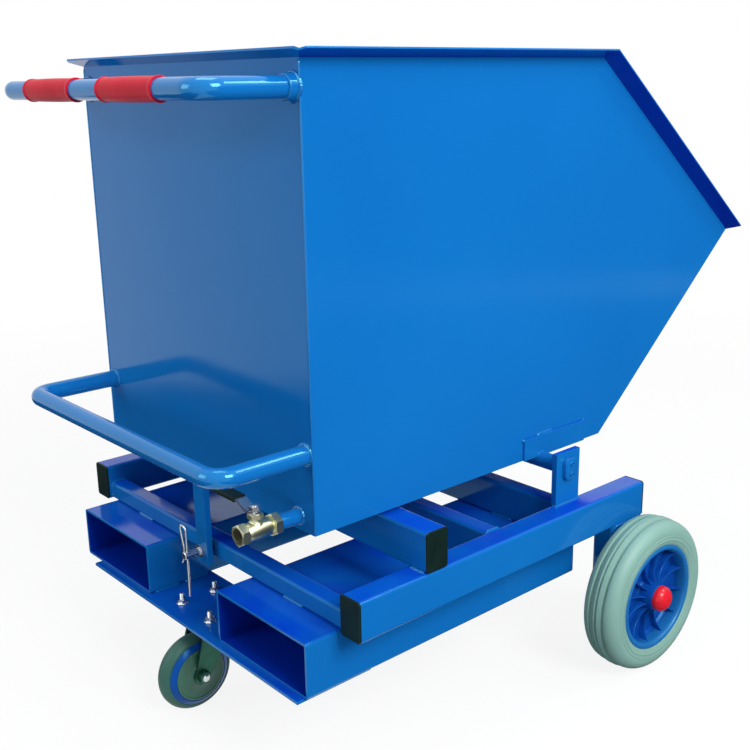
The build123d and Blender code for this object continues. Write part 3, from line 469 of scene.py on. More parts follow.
def new_group(name, inputs, outputs):
    """Node group with input sockets given as name, kind and default."""
    tree = bpy.data.node_groups.new(name, "ShaderNodeTree")
    for socket, kind, default in inputs:
        made = tree.interface.new_socket(name=socket, in_out="INPUT", socket_type=kind)
        made.default_value = default
    for socket, kind in outputs:
        tree.interface.new_socket(name=socket, in_out="OUTPUT", socket_type=kind)
    return tree, tree.nodes.new("NodeGroupInput").outputs, tree.nodes.new("NodeGroupOutput").inputs


def tone_drift_group():
    """Slow drift between two tones, as in sprayed, moulded or plated skins."""
    tree, given, result = new_group(
        "tone_drift",
        [("Tone", "NodeSocketColor", (1, 1, 1, 1)), ("Other Tone", "NodeSocketColor", (1, 1, 1, 1)),
         ("Scale", "NodeSocketFloat", 4.0)],
        [("Color", "NodeSocketColor")])
    share = ranged(tree, noise(tree, given["Scale"], 3.0), 0.3, 0.7)
    tree.links.new(mix_colour(tree, share, given["Tone"], given["Other Tone"]), result["Color"])
    return tree


def skin_group():
    """Fine relief and uneven gloss of a skin: orange peel, moulded grain or a cast surface."""
    tree, given, result = new_group(
        "skin",
        [("Grain", "NodeSocketFloat", 300.0), ("Smooth", "NodeSocketFloat", 0.2),
         ("Dull", "NodeSocketFloat", 0.3)],
        [("Height", "NodeSocketFloat"), ("Roughness", "NodeSocketFloat")])
    tree.links.new(noise(tree, given["Grain"], 2.0), result["Height"])
    patches = ranged(tree, noise(tree, 14.0, 4.0), 0.3, 0.7, given["Smooth"], given["Dull"])
    tree.links.new(patches, result["Roughness"])
    return tree


def dust_and_shade_group():
    """Second colour on faces that look up, thicker in patches: real dust on the trims, painted shade on the
    frame's paint.
    """
    tree, given, result = new_group(
        "settled",
        [("Color", "NodeSocketColor", (1, 1, 1, 1)), ("Layer", "NodeSocketColor", (0.5, 0.5, 0.47, 1)),
         ("Amount", "NodeSocketFloat", 0.1)],
        [("Color", "NodeSocketColor"), ("Mask", "NodeSocketFloat")])
    normal = put(tree, "ShaderNodeNewGeometry").outputs["Normal"]
    up = put(tree, "ShaderNodeSeparateXYZ", {"Vector": normal}).outputs["Z"]
    patches = ranged(tree, noise(tree, 9.0, 6.0), 0.3, 0.7, 0.3, 1.0)
    flat = maths(tree, "MULTIPLY", ranged(tree, up, 0.5, 1.0), patches)
    mask = maths(tree, "MULTIPLY", flat, given["Amount"])
    tree.links.new(mask, result["Mask"])
    tree.links.new(mix_colour(tree, mask, given["Color"], given["Layer"]), result["Color"])
    return tree


def scuff_group():
    """Thin scratches that run in one direction, gathered in patches."""
    tree, given, result = new_group(
        "scuffs",
        [("Scale", "NodeSocketFloat", 30.0), ("Amount", "NodeSocketFloat", 0.3)],
        [("Mask", "NodeSocketFloat")])
    place = put(tree, "ShaderNodeTexCoord").outputs["Object"]
    bent = put(tree, "ShaderNodeMapping", {"Vector": place, "Rotation": (0.4, 0.7, 0.3),
                                           "Scale": (1.0, 14.0, 3.0)}).outputs["Vector"]
    lines = ranged(tree, noise(tree, given["Scale"], 3.0, bent), 0.66, 0.72)
    patches = ranged(tree, noise(tree, 6.0), 0.5, 0.65)
    mask = maths(tree, "MULTIPLY", lines, patches)
    tree.links.new(maths(tree, "MULTIPLY", mask, given["Amount"]), result["Mask"])
    return tree


GROUP_MAKERS = {"tone_drift": tone_drift_group, "skin": skin_group, "settled": dust_and_shade_group,
                "scuffs": scuff_group}


def use_group(tree, name, inputs):
    """Places a shared node group, which is made when it is first used."""
    group = bpy.data.node_groups.get(name) or GROUP_MAKERS[name]()
    return put(tree, "ShaderNodeGroup", inputs, node_tree=group).outputs


def shade(colour, factor):
    """A colour made lighter or darker by a factor."""
    return (*(min(1.0, part * factor) for part in colour[:3]), 1.0)


def new_material(name, fixed):
    """Material with a principled shader whose constant sockets are set."""
    material = bpy.data.materials.new(name)
    material.use_nodes = True
    tree = material.node_tree
    shader = tree.nodes["Principled BSDF"]
    for socket, value in fixed.items():
        shader.inputs[socket].default_value = value
    return material, tree, shader


def skinned(name, tone, other, tone_scale, grain, relief, smooth, dull,
            dust=0.0, scuffs=0.0, wave=0.0, painted_shade=None, shaded=None, **fixed):
    """Material with drifting tone and a grained skin, painted shade on faces that look up and on marked
    faces, scuffs, dust and waves.
    """
    constants = {key.replace("_", " "): value for key, value in fixed.items()}
    material, tree, shader = new_material(name, constants)
    drift = use_group(tree, "tone_drift", {"Tone": tone, "Other Tone": other, "Scale": tone_scale})
    skin = use_group(tree, "skin", {"Grain": grain, "Smooth": smooth, "Dull": dull})
    colour, roughness = drift["Color"], skin["Roughness"]
    # Painted shade: deep blue on faces that look up, in patches
    if painted_shade:
        layer = {"Color": colour, "Layer": painted_shade, "Amount": PAINTED_SHADE_SHARE}
        colour = use_group(tree, "settled", layer)["Color"]
    # Painted shade: the shade colour on the faces marked to lie in shade
    if shaded:
        inside = put(tree, "ShaderNodeAttribute", attribute_name=SHADE_MARK).outputs["Fac"]
        colour = mix_colour(tree, inside, colour, shaded)
    if scuffs:
        mask = use_group(tree, "scuffs", {"Scale": 30.0, "Amount": scuffs})["Mask"]
        colour = mix_colour(tree, mask, colour, shade(tone, 1.8))
        roughness = maths(tree, "ADD", roughness, maths(tree, "MULTIPLY", mask, 0.5))
    if dust:
        settled = use_group(tree, "settled", {"Color": colour, "Amount": dust})
        colour = settled["Color"]
        roughness = maths(tree, "ADD", roughness, maths(tree, "MULTIPLY", settled["Mask"], 0.8))
    tree.links.new(colour, shader.inputs["Base Color"])
    tree.links.new(roughness, shader.inputs["Roughness"])
    fine = put(tree, "ShaderNodeBump", {"Height": skin["Height"], "Distance": relief})
    if wave:
        slow = put(tree, "ShaderNodeBump", {"Height": noise(tree, 3.2, 1.0), "Distance": wave})
        tree.links.new(slow.outputs["Normal"], fine.inputs["Normal"])
    tree.links.new(fine.outputs["Normal"], shader.inputs["Normal"])
    return material


def paint(name, level, wave=0.0, painted_shade=None):
    """Gloss blue paint on steel, with orange peel, painted shade on marked faces and, on sheet, slow waves.
    """
    look = bpy.context.scene.hopper_paint
    return skinned(name, look.blue, look.deep_blue, tone_scale=2.2, grain=420.0, relief=0.00006,
                   smooth=look.gloss, dull=look.gloss + 0.06, scuffs=0.08, wave=wave, painted_shade=painted_shade,
                   shaded=shade(look.shaded_blue, SHADE_LEVEL), Specular_IOR_Level=level,
                   Specular_Tint=GLOSS_TINT)


def sheet_paint():
    return paint("blue_sheet_paint", 0.36, wave=0.0012)


def tube_paint():
    return paint("blue_tube_paint", 0.8)


def frame_paint():
    # The frame's faces that look up take painted shade
    return paint("blue_frame_paint", 0.35, painted_shade=bpy.context.scene.hopper_paint.shaded_blue)


PAINTS = {"sheet": sheet_paint, "tube": tube_paint, "frame": frame_paint}

# Finishes of one colour: material, the setting of its colour, levels of its two tones, scale of their
# drift, grain, relief in metres, least and most roughness, and what is special to it
TRIMS = {
    "black": ("black_moulding", "black", 1.0, 1.5, 30.0, 1400.0, 0.00008, 0.36, 0.48,
              {"scuffs": 0.06, "Specular_IOR_Level": 0.15}),
    "pad": ("black_pad_rubber", "black", 1.6, 2.2, 40.0, 900.0, 0.00015, 0.62, 0.78, {"dust": 0.08}),
    "grip": ("red_grip_vinyl", "grip_red", 1.0, 0.86, 25.0, 1100.0, 0.00010, 0.34, 0.46,
             {"scuffs": 0.06, "Specular_IOR_Level": 0.12}),
    "cap": ("red_cap_gloss", "cap_red", 1.0, 0.92, 30.0, 700.0, 0.00004, 0.16, 0.24,
            {"Specular_IOR_Level": 0.3}),
    "tyre": ("grey_tyre_rubber", "tyre_grey", 1.0, 0.88, 12.0, 650.0, 0.00012, 0.46, 0.60,
             {"dust": 0.06, "scuffs": 0.10}),
    "castor": ("castor_tread_rubber", "castor_grey", 1.0, 0.82, 25.0, 800.0, 0.00010, 0.48, 0.62,
               {"dust": 0.06, "scuffs": 0.15}),
    # Rim web and castor core: darker blue as painted shade; flange: lighter copy of it as painted light
    "rim": ("blue_rim_moulding", "rim_blue", 1.0, 0.85, 18.0, 500.0, 0.00005, 0.24, 0.34,
            {"scuffs": 0.08, "Specular_IOR_Level": 0.3, "Specular_Tint": (0.3, 0.9, 1.0, 1.0)}),
    "flange": ("blue_flange_moulding", "flange_blue", 1.0, 0.85, 18.0, 500.0, 0.00005, 0.24, 0.34,
               {"scuffs": 0.10, "Specular_Tint": (0.5, 0.95, 1.0, 1.0)}),
    "cover": ("grey_cover_moulding", "cover_grey", 1.0, 0.8, 40.0, 900.0, 0.00006, 0.30, 0.42,
              {"dust": 0.03, "scuffs": 0.10}),
    "zinc": ("bright_zinc", "zinc", 1.0, 0.82, 90.0, 1600.0, 0.00004, 0.20, 0.36, {"Metallic": 1.0}),
    # Dark grey-green metal made from the covers' colour, for the castor fork, thrust ring and axle nuts
    "fork": ("dark_passivated_steel", "cover_grey", 0.9, 0.6, 60.0, 1200.0, 0.00005, 0.32, 0.48,
             {"scuffs": 0.2, "Metallic": 0.7}),
    "valve": ("nickel_cast", "nickel", 1.0, 0.80, 60.0, 900.0, 0.00014, 0.26, 0.42, {"Metallic": 1.0}),
    # Painted shade: a near-black copy of the valve's nickel, for the thread and the ball inside the bore
    "bore": ("oiled_bore", "nickel", 0.10, 0.06, 80.0, 900.0, 0.00008, 0.34, 0.5, {"Metallic": 1.0}),
    "seat": ("white_seat", "seat_white", 1.0, 0.93, 60.0, 800.0, 0.00004, 0.40, 0.50, {}),
}
FINISHES = {}


def trim(name, setting, level, other_level, tone_scale, grain, relief, smooth, dull, special):
    """Finish of one colour, from its row of the table."""
    colour = getattr(bpy.context.scene.hopper_trim, setting)
    return skinned(name, shade(colour, level), shade(colour, other_level), tone_scale, grain, relief,
                   smooth, dull, **special)


def finish_of(name):
    """A finish by its name, made when it is first asked for."""
    if name not in FINISHES:
        FINISHES[name] = PAINTS[name]() if name in PAINTS else trim(*TRIMS[name])
    return FINISHES[name]


# Nodes that keep their own shape, by finish
KEPT_SHAPES = {
    "tube": ["push_handle", "handle_collars", "lower_bar", "drain_stub", "stub_axles", "pivot_bosses"],
    "zinc": ["axle_washers", "castor_top_plate", "castor_king_pin", "castor_bush", "latch_pin",
             "latch_bush", "spring_clip", "valve_stem", "valve_lever", "hub_bush_right", "hub_bush_left"],
    "fork": ["castor_thrust_ring", "castor_fork"],
    "bore": ["valve_ball"],
    "seat": ["valve_seats"],
    "black": ["lever_sleeve"],
}

# Steel plates and sawn tubes whose edges are rounded
SHEET_NODES = ["hopper_side_right", "hopper_side_left", "hopper_floor", "hopper_chute", "hopper_back"]
PLATE_NODES = ["castor_base_plate", "pivot_lugs", "pivot_doublers", "latch_bar"]
TUBE_NODES = ["rail_right", "rail_left", "cross_tube", "rear_member", "middle_member", "front_member",
              "wheel_legs"]
POCKET_NODES = ["fork_pocket_right", "fork_pocket_left"]


class HOPPER_OT_kept_shapes(bpy.types.Operator):
    """Gives finishes to the pieces that keep their own shape"""
    bl_idname = "hopper.kept_shapes"
    bl_label = "Finish kept pieces"

    def execute(self, context):
        for finish, nodes in KEPT_SHAPES.items():
            for node in nodes:
                for slot in frame["nodes"][node].material_slots:
                    slot.material = finish_of(finish)
        return {"FINISHED"}


class HOPPER_OT_sheets(bpy.types.Operator):
    """Hopper sheets, plates and tubes with rounded edges and gloss paint"""
    bl_idname = "hopper.sheets"
    bl_label = "Painted steel"

    def execute(self, context):
        look = context.scene.hopper_paint
        # The side sheets' rim undersides take painted shade
        for node in SHEET_NODES:
            rounded_copy(node, "sheet", look.sheet_edge / MM, under_rim())
        for node in PLATE_NODES:
            rounded_copy(node, "frame", look.sheet_edge / MM)
        for node in TUBE_NODES:
            rounded_copy(node, "frame", look.tube_edge / MM)
        # The pockets' insides take painted shade
        for node in POCKET_NODES:
            rounded_copy(node, "frame", look.tube_edge / MM, inside_pocket(node))
        return {"FINISHED"}


class HOPPER_OT_end_caps(bpy.types.Operator):
    """Black plugs in the ends of the tubes and the rubber pads under the hopper"""
    bl_idname = "hopper.end_caps"
    bl_label = "End caps"

    def execute(self, context):
        cap_edge, pad_edge = 0.4, 0.8
        for node in ("rail_caps", "cross_tube_caps"):
            rounded_copy(node, "black", cap_edge)
        rounded_copy("rest_pads", "pad", pad_edge)
        return {"FINISHED"}


# Welds
def bead(bm, points, radius, chance, closed):
    """Weld bead along a run of points, with ripples that swell and fade."""
    look = bpy.context.scene.hopper_welds
    places, unevenness, tip, shoulder, sides = 3, 0.04, 0.35, 0.8, 8
    found = along_path(points, look.ripple * radius / places, closed)
    scales = [1 + look.ripple_depth * (n % places / places - 0.33) + chance.uniform(-unevenness, unevenness)
              for n in range(len(found))]
    if not closed:
        scales[0] = scales[-1] = tip
        scales[1] = scales[-2] = shoulder
    angles = [tau * n / sides for n in range(sides)]
    section = [Vector((radius * cos(angle), radius * sin(angle), 0)) for angle in angles]
    sweep(bm, section, frames_along(found, scales), closed)


def mirrored(points):
    """The same points on the other side of the hopper."""
    return [Vector((p.x, -p.y, p.z)) for p in points]


def weld_lines(name, body, lines, radius, closed=False):
    """One piece of several like beads."""
    chance = random.Random(WELD_SEED)
    bm = bmesh.new()
    for points in lines:
        bead(bm, points, radius, chance, closed)
    finish_piece(name, bm, "tube", body)


def stitches(start, end, length, count):
    """Short runs spread evenly between two points."""
    half = (end - start).normalized() * length / 2
    middles = [start.lerp(end, (n + 0.5) / count) for n in range(count)]
    return [[middle - half, middle + half] for middle in middles]


def back_outside_x():
    """Outside of the hopper's back sheet, along X."""
    return box_mm("hopper_floor")[0].x - SHEET


def hopper_seams(radius):
    """Beads along the hopper's outer back corners and along the seams inside it."""
    floor_low, floor_high = box_mm("hopper_floor")
    chute_low, chute_high = box_mm("hopper_chute")
    inner_y = floor_low.y
    below_rim, above_floor, short_of_lip, tuck = 15, 2, 0.03, 0.5
    rim_z = box_mm("hopper_back")[1].z - below_rim
    edge = Vector((back_outside_x() + tuck, inner_y - SHEET + tuck, floor_low.z + above_floor))
    outside = [[edge, Vector((edge.x, edge.y, rim_z))]]
    corner = Vector((floor_low.x, inner_y, floor_high.z))
    knee = Vector((chute_low.x, inner_y, floor_high.z))
    lip = Vector((chute_high.x, inner_y, chute_high.z)).lerp(knee, short_of_lip)
    inside = [[corner, knee], [knee, lip], [corner, Vector((corner.x, inner_y, rim_z))]]
    outside += [mirrored(line) for line in outside]
    inside += [mirrored(line) for line in inside]
    inside.append([corner, Vector((corner.x, -inner_y, corner.z))])
    weld_lines("hopper_corner_welds", "hopper", outside, radius * 0.75)
    weld_lines("hopper_inner_welds", "hopper", inside, radius)


def tube_rings(radius):
    """Ring beads where tubes meet the hopper's back."""
    back_x = back_outside_x()
    tube_gap, drain_gap = 0.4, 0.6
    rings = []
    for node in ("handle_collars", "lower_bar"):
        low, high = box_mm(node)
        tube = (high.z - low.z) / 2
        middle = Vector((back_x, low.y + tube, low.z + tube))
        ring = circle_points(middle, X_AXIS, tube + tube_gap, RING_STEPS)
        rings += [ring, mirrored(ring)]
    low, high = box_mm("drain_stub")
    drain = Vector((back_x, (low.y + high.y) / 2, (low.z + high.z) / 2))
    rings.append(circle_points(drain, X_AXIS, (high.z - low.z) / 2 + drain_gap, RING_STEPS))
    weld_lines("tube_ring_welds", "hopper", rings, radius, closed=True)


def pivot_and_latch_beads(radius):
    """Stitches on the doublers, beads over the pivot bosses and round the latch bar's lap."""
    low, high = box_mm("pivot_doublers")
    floor_low = box_mm("hopper_floor")[0]
    outer_y = floor_low.y - SHEET
    third = low.x + (high.x - low.x) / 3
    behind, ahead, below, above = 18, 20, 5, 1
    top = [Vector((third - behind, outer_y, high.z)), Vector((third + ahead, outer_y, high.z))]
    spots = [[Vector((x, outer_y, high.z - below)), Vector((x, outer_y, high.z + above))]
             for x in (low.x, high.x)]
    boss_low, boss_high = box_mm("pivot_bosses")
    boss = (boss_high.x - boss_low.x) / 2
    pivot = Vector((boss_low.x + boss, low.y, boss_high.z - boss))
    reach, places = radians(58), 30
    around = circle_points(pivot, Y_AXIS, boss, places, -reach, 2 * reach)
    bar_low, bar_high = box_mm("latch_bar")
    back_x = back_outside_x()
    latch = [Vector((back_x, bar_high.y, floor_low.z)), Vector((back_x, bar_high.y, bar_high.z)),
             Vector((back_x, bar_low.y, bar_high.z)), Vector((back_x, bar_low.y, floor_low.z))]
    stitched = [top] + spots
    weld_lines("doubler_welds", "hopper", stitched + [mirrored(line) for line in stitched], radius * 1.7)
    weld_lines("pivot_and_latch_welds", "hopper", [around, mirrored(around), latch], radius)


def member_beads(node, rail_y, pocket_low, pocket_high, stitch):
    """Beads round a member's end at the rail and stitches where it lies on the pocket."""
    low, high = box_mm(node)
    inset, tuck = 5, 1
    lines = [[Vector((low.x, rail_y, low.z + inset)), Vector((low.x, rail_y, high.z - inset)),
              Vector((low.x + inset, rail_y, high.z)), Vector((high.x - inset, rail_y, high.z)),
              Vector((high.x, rail_y, high.z - inset)), Vector((high.x, rail_y, low.z + inset))]]
    for edge_x in (low.x + tuck, high.x - tuck):
        lines += stitches(Vector((edge_x, pocket_low.y, pocket_high.z + tuck)),
                          Vector((edge_x, pocket_high.y, pocket_high.z + tuck)), stitch, 1)
    return lines


def frame_beads(radius, stitch):
    """Beads on the frame: lugs, cross tube, members, base plate, legs and axle collars."""
    rail_low, rail_high = box_mm("rail_right")
    lug_low, lug_high = box_mm("pivot_lugs")
    lug_short, tube_short, leg_short, edge_short, plate_short = 3, 6, 5, 6, 4
    tuck, plate_rise = 1, 0.5
    top = rail_high.z
    inside = rail_high.y - lug_short
    lines = [[Vector((lug_low.x, inside, top)), Vector((lug_low.x, lug_low.y, top)),
              Vector((lug_high.x, lug_low.y, top)), Vector((lug_high.x, inside, top))]]
    cross_low, cross_high = box_mm("cross_tube")
    for edge_x in (cross_low.x, cross_high.x):
        lines.append([Vector((edge_x, rail_low.y + tube_short, top)),
                      Vector((edge_x, rail_high.y - tube_short, top))])
    pocket_low, pocket_high = box_mm("fork_pocket_right")
    for node in ("rear_member", "middle_member", "front_member"):
        lines += member_beads(node, rail_high.y, pocket_low, pocket_high, stitch)
    leg_low, leg_high = box_mm("wheel_legs")
    lines.append([Vector((leg_low.x, rail_high.y - leg_short, leg_high.z)),
                  Vector((leg_low.x, leg_low.y + leg_short, leg_high.z))])
    lines.append([Vector((leg_low.x + edge_short, leg_low.y + tuck, leg_high.z)),
                  Vector((leg_high.x - edge_short, leg_low.y + tuck, leg_high.z))])
    plate_high = box_mm("castor_base_plate")[1]
    seam_z = plate_high.z + plate_rise
    lines += stitches(Vector((pocket_low.x + plate_short, pocket_high.y, seam_z)),
                      Vector((plate_high.x - plate_short, pocket_high.y, seam_z)), stitch, 2)
    lines += [mirrored(line) for line in lines]
    weld_lines("frame_welds", "chassis", lines, radius)

    axle_low, axle_high = box_mm("stub_axles")
    collar = (axle_high.z - axle_low.z) / 2
    centre = Vector((axle_low.x + collar, leg_low.y, axle_low.z + collar))
    ring = circle_points(centre, Y_AXIS, collar, RING_STEPS)
    weld_lines("axle_collar_welds", "chassis", [ring, mirrored(ring)], radius, closed=True)


class HOPPER_OT_welds(bpy.types.Operator):
    """Weld beads on the hopper and the frame"""
    bl_idname = "hopper.welds"
    bl_label = "Weld beads"

    def execute(self, context):
        look = context.scene.hopper_welds
        hopper_seams(look.seam_bead / MM)
        tube_rings(look.tube_bead / MM)
        pivot_and_latch_beads(look.seam_bead / MM * 0.8)
        frame_beads(look.frame_bead / MM, look.stitch / MM)
        return {"FINISHED"}


# Main wheels
def tyre_profile(out, seat, half):
    """Section of the tyre, outboard side first, with rings on its side and grooves round its tread."""
    outline = [(seat, half - 3), (seat + 2, half - 1.2), (seat + 5, half - 0.4)]
    for ring in (seat + 9, seat + 15):
        outline += [(ring - 1, half), (ring - 0.5, half + 0.5), (ring + 0.5, half + 0.5), (ring + 1, half)]
    outline += arc_profile((seat + 18, half), (out - 7.5, half - 5), (out - 2, half - 15), 10)
    groove_section = ((0, 3), (0.5, 2.1), (2.7, 1.4), (3, 0), (2.7, -1.4), (0.5, -2.1), (0, -3))
    crown = GROOVE_FIRST - (GROOVE_COUNT - 1) / 2 * GROOVE_PITCH
    for groove in range(GROOVE_COUNT):
        middle = GROOVE_FIRST - groove * GROOVE_PITCH
        local = out - abs(middle - crown) * TREAD_FALL
        outline += [(local - depth, middle + beside) for depth, beside in groove_section]
    outline += arc_profile((out - 2.9, 5.8 - half), (out - 5.5, 2.2 - half), (seat + 26, -half), 6)
    outline += [(seat + 8, -half), (seat + 3, 1 - half), (seat, 3 - half)]
    return outline


def flange_profile(seat, half):
    """Section of the rim's barrel and its rounded flange, inboard side first."""
    barrel = seat - 10
    outline = [(barrel, 4 - half), (seat, 3 - half), (seat, half - 3)]
    outline += arc_profile((seat, half - 3), (seat - 4.5, half - 1), (seat - 9, half - 4), 8)[1:]
    return outline + [(barrel - 0.3, half - 8), (barrel - 1, 9), (barrel, 6)]


def web_profile(seat, half, hub, bore):
    """Section of the rim's web and hub, inboard side first."""
    barrel = seat - 10
    return [(bore, -half), (hub - 1.5, -half), (hub, 1.5 - half), (hub, -2), (barrel + 0.2, -2),
            (barrel + 0.2, 9), (barrel - 1, 8.8), (barrel - 2, 6), (barrel - 5, 3), (hub + 5, 3),
            (hub + 1.5, 6), (hub, half - 3), (hub - 1, half - 0.8), (hub - 3, half), (bore, half)]


def add_rib(bm, centre, outboard, angle, inner, outer, half):
    """One radial rib with a hollow top edge and a rounded crest."""
    radial = Quaternion(Y_AXIS, angle) @ X_AXIS
    across = radial.cross(outboard)
    turned = Matrix((across, outboard, radial)).transposed().to_4x4()
    foot = 2.5
    stations = []
    for out, top in arc_profile((inner, half - 9), ((inner + outer) / 2, half - 18), (outer, half - 8), 12):
        middle = centre + radial * out + outboard * (foot + top) / 2
        stations.append(Matrix.Translation(middle) @ turned @ Matrix.Diagonal((1, top - foot, 1, 1)))
    outline = ((-1.3, -0.5), (1.3, -0.5), (1.05, 0.44), (0.5, 0.5), (-0.5, 0.5), (-1.05, 0.44))
    sweep(bm, [Vector((wide, high, 0)) for wide, high in outline], stations)


def hub_cap(hand, outboard):
    """Domed hub cap with a straight skirt."""
    node = "hub_cap_" + hand
    low, high = box_mm(node)
    height = high.y - low.y
    radius = (high.x - low.x) / 2
    inside = radius - 2.5
    profile = [(inside, 0), (radius, 0), (radius, height * 0.30), (radius - 0.2, height * 0.36)]
    profile += arc_profile((radius - 0.6, height * 0.42), (radius * 0.72, height * 0.82), (0.0, height), 14)
    profile += [(0.0, height - 2.5), (radius * 0.6, height * 0.62), (inside, height * 0.3)]
    foot = (low + high) / 2 - outboard * height / 2
    turned_piece(node + "_domed", [(profile, foot, outboard)], CAP_STEPS, "cap", "wheel_" + hand,
                 (node,))


class HOPPER_OT_wheels(bpy.types.Operator):
    """Main wheels: grooved tyres, ribbed rims and domed hub caps"""
    bl_idname = "hopper.wheels"
    bl_label = "Main wheels"

    def execute(self, context):
        first_rib = 0.35
        for hand, outboard in (("right", -Y_AXIS), ("left", Y_AXIS)):
            tyre, rim, body = "tyre_" + hand, "wheel_rim_" + hand, "wheel_" + hand
            low, high = box_mm(tyre)
            rim_low, rim_high = box_mm(rim)
            bush_low, bush_high = box_mm("hub_bush_" + hand)
            bore = (bush_high.x - bush_low.x) / 2
            centre = (low + high) / 2
            half = (high.y - low.y) / 2
            seat = (rim_high.x - rim_low.x) / 2
            section = tyre_profile((high.x - low.x) / 2, seat, half)
            turned_piece(tyre + "_moulded", [(section, centre, outboard)], WHEEL_STEPS, "tyre", body,
                         (tyre,))
            section = flange_profile(seat, half)
            turned_piece(rim + "_flange", [(section, centre, outboard)], WHEEL_STEPS, "flange", body)
            bm = bmesh.new()
            turn(bm, web_profile(seat, half, HUB_RADIUS, bore), centre, outboard, WHEEL_STEPS)
            for step in range(RIB_COUNT):
                angle = tau * (step + first_rib) / RIB_COUNT
                add_rib(bm, centre, outboard, angle, HUB_RADIUS - 1, seat - 9.8, half)
            finish_piece(rim + "_ribbed", bm, "rim", body, (rim,))
            hub_cap(hand, outboard)
        return {"FINISHED"}


# Castor wheel
class HOPPER_OT_castor(bpy.types.Operator):
    """Castor wheel: rounded tread, moulded core, dished covers, axle and nuts"""
    bl_idname = "hopper.castor"
    bl_label = "Castor wheel"

    def execute(self, context):
        low, high = box_mm("castor_tyre")
        core_low, core_high = box_mm("castor_core")
        bush_low, bush_high = box_mm("castor_bush")
        centre = (low + high) / 2
        out = (high.x - low.x) / 2
        tread = (high.y - low.y) / 2
        half = (core_high.y - core_low.y) / 2
        bore = (bush_high.x - bush_low.x) / 2
        seat = out - CASTOR_RUBBER
        recess = half - 2.5
        crown = [(seat, tread - 0.2), (seat + 2, tread - 0.2), (seat + 3.2, tread + 1),
                 (seat + 5, tread + 1.2)]
        crown += arc_profile((seat + 6.5, tread + 0.9), (out - 2.2, tread - 4.5), (out, 3), 10)
        whole = [(mirror_profile(crown), centre, Y_AXIS)]
        turned_piece("castor_tyre_crowned", whole, CASTOR_STEPS, "castor", "castor_wheel",
                     ("castor_tyre",))

        ring = out - CASTOR_SHOULDER
        core = [(bore, recess - 0.3), (CASTOR_DISC, recess - 0.3), (CASTOR_DISC, half - 0.8)]
        middle = ((CASTOR_DISC + ring) / 2, (half + tread) / 2 + 1.2)
        core += arc_profile((CASTOR_DISC + 0.8, half), middle, (ring, tread + 1), 8)
        core += [(ring, tread), (seat, tread)]
        whole = [(mirror_profile(core), centre, Y_AXIS)]
        turned_piece("castor_core_moulded", whole, CASTOR_STEPS, "rim", "castor_wheel",
                     ("castor_core",))

        cover_low, cover_high = box_mm("castor_covers")
        hub = (cover_high.y - cover_low.y) / 2
        edge = CASTOR_DISC - 0.3
        cover = [(bore, recess), (edge, recess), (edge, half - 0.4), (edge - 0.5, half), (edge - 3, half),
                 (edge - 3.6, half - 0.6)]
        cover += arc_profile((edge - 4, half - 1.2), (31, half - 1.9), (24, half - 1), 8)
        cover += [(23, half - 0.6), (17.6, hub - 0.8), (16.8, hub), (bore, hub)]
        both = [(cover, centre, -Y_AXIS), (cover, centre, Y_AXIS)]
        turned_piece("castor_covers_dished", both, CASTOR_STEPS, "cover", "castor_wheel",
                     ("castor_covers",))
        self.axle(centre)
        return {"FINISHED"}

    def axle(self, centre):
        """Bright axle with a domed end, and its dark nuts."""
        low, high = box_mm("castor_axle")
        flats = high.x - low.x
        near, far = centre.y - low.y, high.y - centre.y
        shaft = [(0, -near), (CASTOR_AXLE - 2, -near), (CASTOR_AXLE, 2 - near), (CASTOR_AXLE, far - 1),
                 (CASTOR_AXLE - 1, far), (0, far)]
        turned_piece("castor_axle_turned", [(shaft, centre, Y_AXIS)], SHAFT_STEPS, "zinc", "castor_yoke",
                     ("castor_axle",))
        bm = bmesh.new()
        for side in (-1, 1):
            foot = Vector((centre.x, centre.y + side * CASTOR_LEG, centre.z))
            hexagon(bm, foot, Y_AXIS * side, Z_AXIS, flats, far - CASTOR_LEG, CASTOR_AXLE)
        finish_piece("castor_axle_nuts", bm, "fork", "castor_yoke")


# Grips
class HOPPER_OT_grips(bpy.types.Operator):
    """Soft hand grips with a lip at each end"""
    bl_idname = "hopper.grips"
    bl_label = "Grips"

    def execute(self, context):
        low, high = box_mm("grips")
        tube_low, tube_high = box_mm("push_handle")
        radius = (high.z - low.z) / 2
        bore = (tube_high.z - tube_low.z) / 2 + 0.1
        length = high.y - GRIP_INNER_Y
        waist = radius - 0.9
        lip = [(bore, 0), (radius - 0.8, 0), (radius, 0.8), (radius, 3.2), (radius - 0.4, 4.2), (waist, 6)]
        profile = lip + arc_profile((waist, 8), (waist + 0.5, length / 2), (waist, length - 8), 12)
        profile += [(out, length - along) for out, along in reversed(lip)]
        both = [(profile, Vector((low.x + radius, side * GRIP_INNER_Y, low.z + radius)), Y_AXIS * side)
                for side in (-1, 1)]
        turned_piece("grips_lipped", both, GRIP_STEPS, "grip", "hopper", ("grips",))
        return {"FINISHED"}


